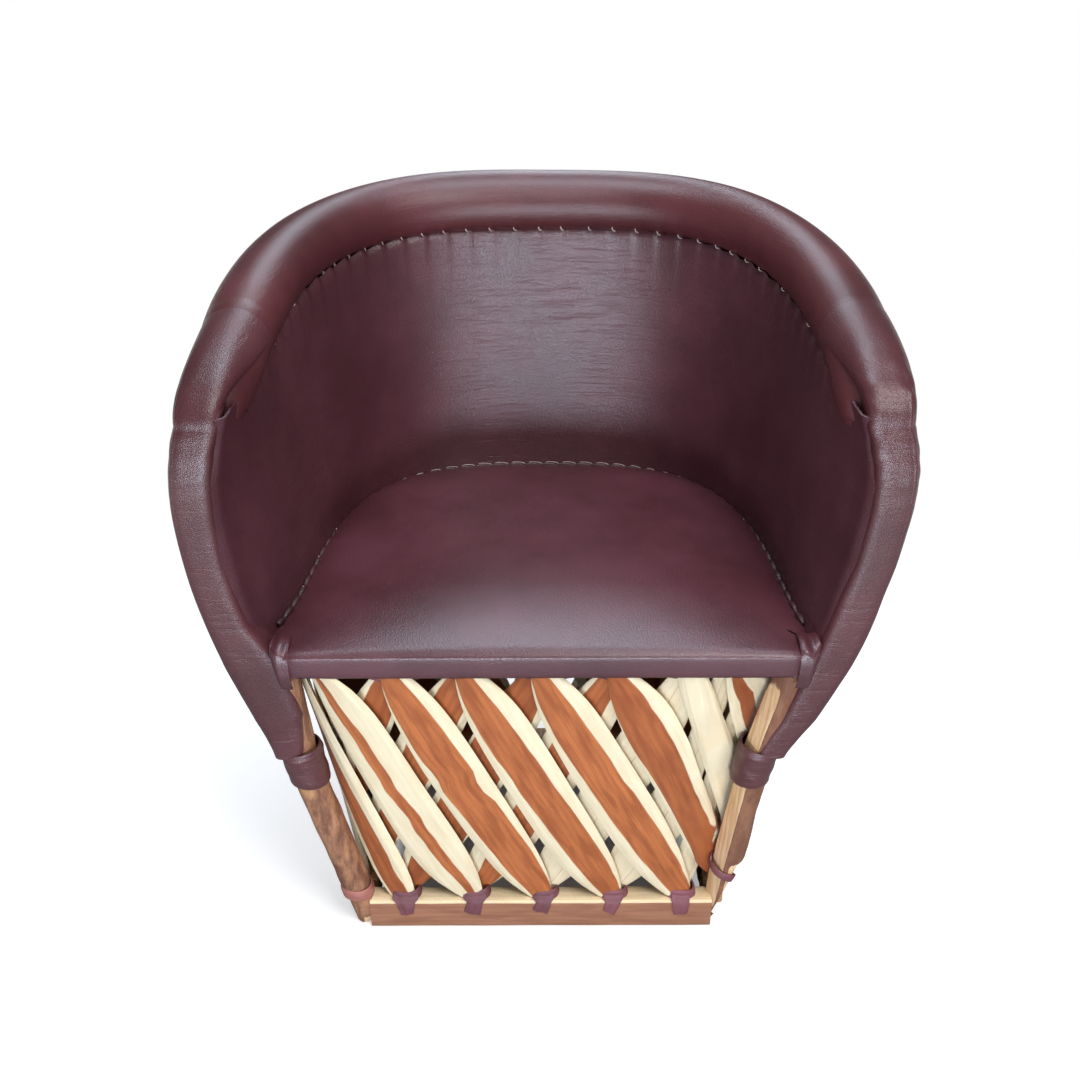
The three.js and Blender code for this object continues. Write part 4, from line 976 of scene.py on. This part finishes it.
def band_surface(side, height, turn, size=1.0, grow=0.0):
    """A level section of a band's hide."""
    inward = band_widening(side, height) / 2
    centre = band_centre(side, height) - side * X_AXIS * inward
    points = ring(centre, X_AXIS, Y_AXIS, turn, (band_half(height) - 0.8 + inward) * size, 20.4 * size, 4.2)
    away = unit(points - centre)
    relief = wobble(points * [1, 1, 0.6], 0.7, 30, 4 + side) + band_lines(side, height, turn)
    return points + away * (relief[:, None] * min(1, size * 1.2) + grow)


def shoulder(hand):
    """The roll's hide drawn down over the bend on to the arm band's front."""
    side = SIDES[hand]
    run = roll_frame()[1]
    share = np.linspace(0, 1, 69)
    k = 36 if side > 0 else -37
    target = np.asarray(roll_rings(np.radians(206 - 244 * share))[k])
    target = target - 0.9 * unit(target - target.mean(0))
    arrive = run[k] * side
    around = np.radians(-206 + 234 * share if side > 0 else 26 - 234 * share)
    rows = [band_surface(side, z, around, 1.0, grow)
            for z, grow in zip(np.linspace(630, 687, 24), np.linspace(-1.0, 0.9, 24))]
    start = rows[-1]
    length = np.linalg.norm(target - start, axis=1)[:, None]
    lift = (31.0 if side < 0 else 38.0) * np.array([0, 0.03, 1.0])
    middle = np.sin(math.pi * share)[:, None]
    for t in np.linspace(0, 1, 46)[1:]:
        row = (1 - t) ** 3 * start + 3 * (1 - t) ** 2 * t * (start + lift) \
            + 3 * (1 - t) * t ** 2 * (target - arrive * length * 0.42) + t ** 3 * target
        line = np.sin(t * 34 + share * (9 if side > 0 else 4) + np.sin(share * 9))
        line *= math.exp(-((t - 0.3) / 0.22) ** 2)
        relief = (0.8 if side > 0 else 0.2) * line[:, None] * middle
        soft = wobble(row, 0.5, 24, 5)[:, None] * middle * t * (1 - t) * 4
        rows.append(row + relief * np.array([0, -0.5, 0.85]) + soft * Z_AXIS)
    dress(thickened(grid_piece(f"shoulder_{hand}", rows), 0.0012), SHOULDER_HIDE, "leather")


def seam_threads():
    """A short thread at each tab, from the lining's edge on to the roll."""
    centre, run, side, up, radius, at = roll_frame()
    phase = seam_phase(at)
    frames = []
    for tab in range(3, TABS - 2):
        k = int(np.argmin(np.abs(phase - (tab + 0.14))))
        if radius[k] < ROLL * 0.9 or (math.sin(at[k]) < 0.55 and tab % 3):
            continue
        place = float(seam_place(at[k])) - 0.07
        away = side[k] * math.cos(place) + up[k] * math.sin(place)
        spot = centre[k] + away * (radius[k] - 0.9)
        climb = side[k] * math.sin(place) - up[k] * math.cos(place)
        slant = unit(climb * 0.9 + run[k] * 0.45)
        size = 0.0042 + 0.0036 * math.sin(at[k]) ** 2
        frames.append((spot, slant * size, np.cross(away, slant) * size, away * size))
    stitches("seam_threads", frames)


rim_roll()
seam_threads()
for hand in SIDES:
    shoulder(hand)


# ---- Arm bands and cuffs ----

def arm_band(hand):
    side = SIDES[hand]
    z = np.concatenate([np.linspace(BAND_HIDE_FOOT, 694, 170), [697, 700, 702.2, 703.5, 704, 704]])
    shrink = np.concatenate([np.ones(170), [0.98, 0.94, 0.87, 0.76, 0.5, 0.0]])
    turn = np.linspace(0, ROUND, 73)
    rows = [np.repeat(band_centre(side, BAND_HIDE_FOOT)[None], len(turn), 0)]
    rows += [band_surface(side, height, turn, size) for height, size in zip(z, shrink)]
    piece = in_edit(grid_piece(f"arm_band_wrap_{hand}", rows), weld, outward)
    dress(smooth(piece, 50), BAND_HIDE, "leather", f"arm_band_{hand}")


def cuff(hand):
    side = SIDES[hand]
    z = np.linspace(CUFF_FOOT, CUFF_TOP, 42)
    turn = np.linspace(0, ROUND, 73)
    lap_start = 2.9 if side < 0 else 0.6
    rows = []
    for k, height in enumerate(z):
        centre = leg_centre(side, height) - side * X_AXIS * 1.6
        end = min(k, len(z) - 1 - k)
        lap = angle_from(turn, lap_start + (height - CUFF_FOOT) * 0.012)
        size = 20.2 + 0.9 * fade(lap, 0, 0.15) * np.clip((2.6 - lap) / 1.5, 0, 1)
        size = size + 0.35 * np.sin(turn * 3 + height * 0.25) + wobble(centre[None], 0.5, 9, side)
        size = size - (1.2 if end == 0 else 0.35 if end == 1 else 0)
        band = 0.8 * math.exp(-((height - 283) / 2.2) ** 2)
        points = centre + (ring(centre, X_AXIS, Y_AXIS, turn, 1, 1) - centre) * (size + band)[:, None]
        points[:, 2] -= 3.5 * np.cos(turn if side > 0 else turn - math.pi) * (k / len(z))
        rows.append(points)
    piece = in_edit(grid_piece(f"cuff_wrap_{hand}", rows), weld)
    dress(thickened(piece, 0.002, degrees=50), BAND_HIDE, "leather", f"arm_cuff_{hand}")


for hand in SIDES:
    arm_band(hand)
    cuff(hand)


# ---- Legs ----

def leg_split(side, turn, height):
    """How far the bark is cut away, and how squarely each point faces the cut.

    The sitter's left leg is split on its inner side, and low in front. The other one is cut at its foot only.
    """
    facing, edge, stop, length = (205, 0.62, 410, 60) if side > 0 else (-35, 0.3, 16, 12)
    inner = np.cos(turn - math.radians(facing))
    split = fade(inner, edge, 0.2) * np.clip((stop - height) / length, 0, 1)
    if side > 0:
        low = np.cos(turn - math.radians(-35))
        split = np.maximum(split, fade(low, 0.45, 0.2) * np.clip((112 - height) / 10, 0, 1))
    return split, inner


def hewn_side(points):
    """How far out the sitter's left leg reaches, where it is cut to a slant above its foot."""
    z = points[:, 2]
    return 196 + 0.27 * z + 34 * fade(z, 105, 13) + wobble(points, 0.8, 9, 3)


def leg(hand):
    side = SIDES[hand]
    turn = np.linspace(0, ROUND, 65)
    rows, cuts = [], []
    for height in np.linspace(0, LEG_TOP, 200):
        centre = leg_centre(side, height)
        size = leg_radius(height) - 0.5
        points = ring(centre, X_AXIS, Y_AXIS, turn, size, size)
        away = (points - centre) / size
        split, inner = leg_split(side, turn, height)
        flat = split * (1.1 + np.maximum(size * (inner - 0.74), 0) * 0.8)
        knots = wobble(points, 0.9, 22, 7 + side) + (1 - split) * wobble(points * [1, 1, 0.5], 0.45, 5, 2)
        points = points + away * (knots - flat)[:, None]
        if side > 0:
            points[:, 0] = np.minimum(points[:, 0], hewn_side(points))
        rows.append(points)
        worn = fade(height, 190, 90) if side < 0 else 0.35
        cuts.append(np.stack([split, 0 * turn + worn, 0 * turn + (0.7 if side > 0 else 0.0)], -1))
    foot, top = (np.repeat(leg_centre(side, h)[None], len(turn), 0) for h in (0.0, LEG_TOP))
    piece = grid_piece(f"leg_{hand}", [foot] + rows + [top], cut=[cuts[0] * 0 + [1, 0, 0]] + cuts + [cuts[-1]])
    in_edit(piece, weld, outward)
    dress(smooth(piece, 60), BARK, "bark_wood", f"front_leg_{hand}")


for hand in SIDES:
    leg(hand)


# ---- Slats ----

# share of the width that is heartwood, how dark it is, and how much its edge wanders
LOOKS = {
    "outer_slat_15": (0.22, 0.05, 0.6),
    "outer_slat_16": (0.68, 0.0, 0.16),
    "outer_slat_17": (0.58, 0.15, 0.18),
    "outer_slat_01": (0.6, 0.0, 0.16),
    "outer_slat_02": (0.74, 0.55, 0.14),
    "outer_slat_13": (0.0, 0.3, 0.1),
    "outer_slat_14": (0.5, 0.5, 0.3),
    "inner_slat_01": (0.8, 0.75, 0.2),
    "inner_slat_02": (0.55, 0.3, 0.2),
    "inner_slat_03": (0.0, 0.3, 0.1),
    "inner_slat_04": (0.0, 0.6, 0.1),
    "inner_slat_05": (0.0, 0.8, 0.2),
    "outer_slat_03": (0.0, 0.4, 0.2),
    "outer_slat_04": (0.3, 0.6, 0.3),
}


def slat_top(points, depth):
    """The middle of a slat's upper end."""
    return points[points[:, 2] > points[:, 2].max() - depth].mean(0)


def board_frame(points, bands=24):
    """Length along a slat, and where its two edges are at each point."""
    foot = points[points[:, 2] < points[:, 2].min() + 0.004].mean(0)
    axis = unit(slat_top(points, 0.004) - foot)
    along = (points - foot) @ axis
    spread = points - foot - along[:, None] * axis
    _, _, main = np.linalg.svd(spread, full_matrices=False)
    across_axis = main[0] * (1 if main[0][0] >= 0 else -1)
    across = spread @ across_axis
    place = along / along.max() * bands
    band = np.clip(place.astype(int), 0, bands)
    held = [across[band == b] if (band == b).any() else np.array([-0.03, 0.03]) for b in range(bands + 1)]
    middles = np.arange(bands + 1) + 0.5
    low, high = (np.interp(place, middles, [pick(h) for h in held]) for pick in (np.min, np.max))
    return along, across, low, high


def slat(name, index, lean):
    """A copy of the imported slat, rounded and given its own grain."""
    piece = copied(NODES[name])
    piece.name = piece.data.name = name.replace("_slat", "_board")
    in_edit(piece, weld, lambda: bpy.ops.mesh.tris_convert_to_quads(face_threshold=0.7, shape_threshold=0.9))
    modify(piece, "BEVEL", width=0.0011, segments=1, limit_method="ANGLE", angle_limit=math.radians(16))
    subdivide(piece, 2)
    points = coordinates(piece)
    along, across, low, high = board_frame(points)
    middle = (low + high) / 2
    share = (across - middle) / np.maximum((high - low) / 2, 0.004)
    share = share + (0.27 if name in LOOKS else 0.1) * (2 * along / along.max() - 1)
    seed = index * 1.37 + (5.1 if lean > 0 else 0.0)
    attribute(piece, "grain", np.stack([along + seed, across - middle + seed * 0.37, share], -1))
    usual = (0.6 + 0.12 * math.sin(seed * 3), 0.5 + 0.5 * math.sin(seed * 5), 0.2)
    attribute(piece, "look", np.tile(LOOKS.get(name, usual), (len(points), 1)))
    slot = next(s["material_slot"] for s in frame["record"]["subparts"] if s["node"] == name)
    dress(smooth(piece, 40), SLAT, slot, name)


for number in range(1, 18):
    slat(f"outer_slat_{number:02d}", number, 1)
    slat(f"inner_slat_{number:02d}", number, -1)


# ---- Front rail and its thongs ----

def front_rail():
    """A sawn board with an uneven, chipped upper edge: brown in front, cream on top."""
    columns = 260
    x = np.linspace(-210.6, 200.6, columns)
    chip = np.clip(wobble(np.stack([x, 0 * x, 0 * x], -1), 3.0, 34, 3), -1.0, 3.0)
    chip = chip + wobble(np.stack([x, 0 * x, 0 * x], -1), 0.7, 9, 6)
    section = [(61.2, 0.3, 0), (60.8, 1.6, 0), (60.6, 10, 0), (60.6, 20, 0), (60.6, 29, 0.1), (60.7, 34, 0.45),
               (60.9, 37, 0.75), (61.6, 38.9, 1.0), (62.9, 40.0, 0.9), (65, 40.7, 0.5), (69, 40.9, 0.15),
               (76, 40.9, 0), (83, 40.8, 0), (85.9, 40, 0), (86.4, 38, 0), (86.4, 20, 0), (86.2, 1.4, 0),
               (85.4, 0.3, 0)]
    loop = section + section[:1]
    rows, marks = [], []
    for k in range(columns):
        row, mark = [], []
        for y, z, soft in loop:
            share = 0.1 + 0.85 * z / 41 if y < 64 and z < 38.5 else 1.5
            row.append([x[k], y + 0.35 * chip[k] * soft, z - 0.55 * chip[k] * soft])
            mark.append([x[k] / 1000, z / 1000 if y < 64 else y / 1000, share - 0.02 * chip[k]])
        row = np.array(row)
        row[:, 1] += wobble(row, 0.35, 12, 4) * 0.8
        rows.append(row)
        marks.append(mark)
    ends = [np.repeat(rows[j].mean(0)[None], len(loop), 0) for j in (0, -1)]
    ends[0][:, 0], ends[1][:, 0] = x[0], x[-1]
    pale = [[v[0], v[1], 1.5] for v in marks[0]]
    piece = grid_piece("front_rail", [ends[0]] + rows + [ends[1]], grain=[pale] + marks + [marks[-1]],
                       look=np.tile([0.93, 0.0, 0.12], (columns + 2, len(loop), 1)))
    in_edit(piece, weld, outward)
    dress(smooth(piece, 40), RAIL, "pale_wood", "base_front_rail")


# of each front thong: top, middle and end half width, lean to the side at its end, and height of its end
TAILS = [(16.0, 11.0, 7.0, 1.0, 21.0), (14.5, 9.5, 10.0, -3.5, 22.5), (13.0, 9.0, 9.5, -4.5, 25.0),
         (13.0, 9.5, 7.5, -5.0, 23.5), (12.0, 11.0, 8.6, 0.5, 21.0)]


def thong_knot(x, seed):
    """Two turns of thong drawn tight round the feet of an outer and an inner slat."""
    turn = np.linspace(0, ROUND, 45)
    rows = []
    for z, grow in ((41.4, -1.5), (41.6, 0.8), (43.5, 2.0), (45.6, 1.8), (46.8, 0.9), (48.0, 1.7), (50.4, 1.9),
                    (52.6, 1.2), (53.4, -0.5)):
        centre = np.array([x, 75.6, z])
        half = 16.6 - 0.16 * (z - 41)
        points = ring(centre, X_AXIS, Y_AXIS, turn, half + grow * 0.6, 11.0 + grow * 0.6, 2.6)
        points = points + unit(points - centre) * wobble(points, 0.9, 7, seed)[:, None]
        points[:, 2] += np.where(z > 42, 1.2 * np.sin(turn * 2 + seed), 0)
        rows.append(points)
    return thickened(in_edit(grid_piece(f"knot_{seed}", rows), weld), 0.0014)


def thong_tail(x, top, middle, end, lean, stop, seed):
    """The thong's end, from the knot over the rail's edge and down its face."""
    path = curve_through([[x, 66.5, 52], [x, 62.6, 47.5], [x - 0.4, 60.9, 43], [x - 0.3, 58.9, 39.6],
                          [x + lean * 0.3, 58.4, 34], [x + lean * 0.7, 58.5, (34 + stop) / 2],
                          [x + lean, 58.7, stop]], 26)
    across = np.linspace(-1, 1, 15)
    bulge = -0.9 * (1 - across ** 2) - 0.5 * np.sin(across * 5 + seed)
    rows = []
    for share, spot in zip(np.linspace(0, 1, 26), path):
        half = np.interp(share, [0, 0.25, 0.5, 1], [top * 0.9, top, middle, end])
        row = spot + np.stack([across * half, bulge, 0.8 * lean * across * share ** 3], -1)
        row[:, 1] += wobble(row, 0.55, 6, seed)
        row[:, 0] += wobble(row, 0.7, 8, seed + 2)
        rows.append(row)
    return thickened(grid_piece(f"tail_{seed}", rows), 0.0015, levels=1)


def front_tie(number):
    x = TIES[number - 1] + (-1.0 if number != 5 else -3.0)
    knot = thong_knot(x, number + 0.3)
    tail = thong_tail(x, *TAILS[number - 1], number + 0.6)
    piece = merged(f"front_thong_{number}", [knot, tail])
    dress(piece, THONG, "thong_leather", f"front_tie_{number}")


def leg_thong(name, material, side, height, tilt, turns, width, start, stop):
    """A thong wound round a leg between two angles, tilted towards one side."""
    turn = np.linspace(math.radians(start), math.radians(stop), 30 * turns + 1)
    z = height + tilt * np.cos(turn) + (turn - turn[0]) / ROUND * width * 1.3
    centre = leg_centre(side, z)
    radial = np.stack([np.cos(turn), np.sin(turn), 0 * turn], -1)
    reach = leg_radius(z) + 1.0 + 0.5 * np.sin(turn * 2.3)
    path = centre + radial * reach[:, None]
    if side > 0:
        path[:, 0] = np.minimum(path[:, 0], hewn_side(path) + 3.0)
    piece = path_tube(name, path, width, sides=12, flat=0.2, up=radial)
    dress(smooth(piece, 60), material, "thong_leather")


def hoop_place(share):
    """A point above the base hoop's middle line, and the way out of the drum there."""
    turns, _ = plan_turns(201, HOOP_PLAN)
    x, y, out_x, out_y = plan_point(np.interp(share, np.linspace(0, 1, 201), turns), *HOOP_PLAN)
    return np.array([x - 5, y, 41.0]), np.array([out_x, out_y, 0.0])


def hoop_tie(number, share):
    """A thong in two loops round the hoop and the feet that stand on it."""
    centre, out = hoop_place(share)
    along = np.cross(Z_AXIS, out)
    turn = np.linspace(0, ROUND, 33)
    reach = np.where(np.sin(turn) > 0, 27.0, 22.4)
    facing = ring(0, out, Z_AXIS, turn, 1, 1)
    loops = []
    for k, (shift, spin) in enumerate(((-6.5, -3), (5.5, 3))):
        start = centre - 17.0 * Z_AXIS + along * shift
        path = ring(start, out, Z_AXIS, turn, 14.3, reach, 4.0) + np.sin(turn)[:, None] * along * spin
        path[:, 2] = np.maximum(path[:, 2], 1.2)
        loops.append(path_tube(f"loop_{number}_{k}", path, 4.6, sides=8, flat=0.25, up=facing))
    piece = merged(f"hoop_thong_{number:02d}", loops)
    dress(smooth(piece, 60), THONG, "thong_leather")


def ring_lacing():
    """The thong that runs from one slat's top to the next under the seat ring."""
    outer, inner = ([slat_top(coordinates(NODES[f"{layer}_slat_{n:02d}"]) * 1000 - SHIFT, 4)
                     for n in range(1, 18)] for layer in ("outer", "inner"))
    tops = [one * 0.5 + other * 0.5 for one, other in zip(outer, inner)]
    order = tops[14:] + tops[:14]
    points = []
    for here, after in zip(order[:-1], order[1:]):
        if after[1] > 60 or here[1] > 60 or abs(after[0] - here[0]) < 200:
            points += [here + [0, 0, -9.0], (here + after) / 2 + [0, 0, -3.0]]
    points.append(order[-1] + [0, 0, -9.0])
    path = curve_through(points, 420)
    path[:, 2] += wobble(path, 2.5, 18, 4)
    piece = path_tube("ring_lacing", path, 5.0 + wobble(path, 1.2, 12, 2), sides=9, flat=0.5, up=(0, 1, 0.3))
    dress(smooth(piece), THONG, "thong_leather")


front_rail()
for number in range(1, 6):
    front_tie(number)
leg_thong("leg_wrap_right", PINK_THONG, -1, 46, -2.0, 2, 5.2, 30, 760)
leg_thong("leg_wrap_left", THONG, 1, 86, -9.0, 1, 5.6, -200, 185)
ring_lacing()
for number in range(12):
    hoop_tie(number + 1, 0.045 + 0.91 * number / 11)


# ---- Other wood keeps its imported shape, with its own finish ----

FINISHES = {"base_hoop": POLE, "seat_hoop": POLE, "top_rod": POLE, "seat_front_rail": POLE,
            "arm_stile_left": STICK, "arm_stile_right": STICK}
FINISHES.update({f"back_upright_{number}": STICK for number in range(1, 5)})
for name, finish in FINISHES.items():
    NODES[name].data.materials.clear()
    NODES[name].data.materials.append(finish)
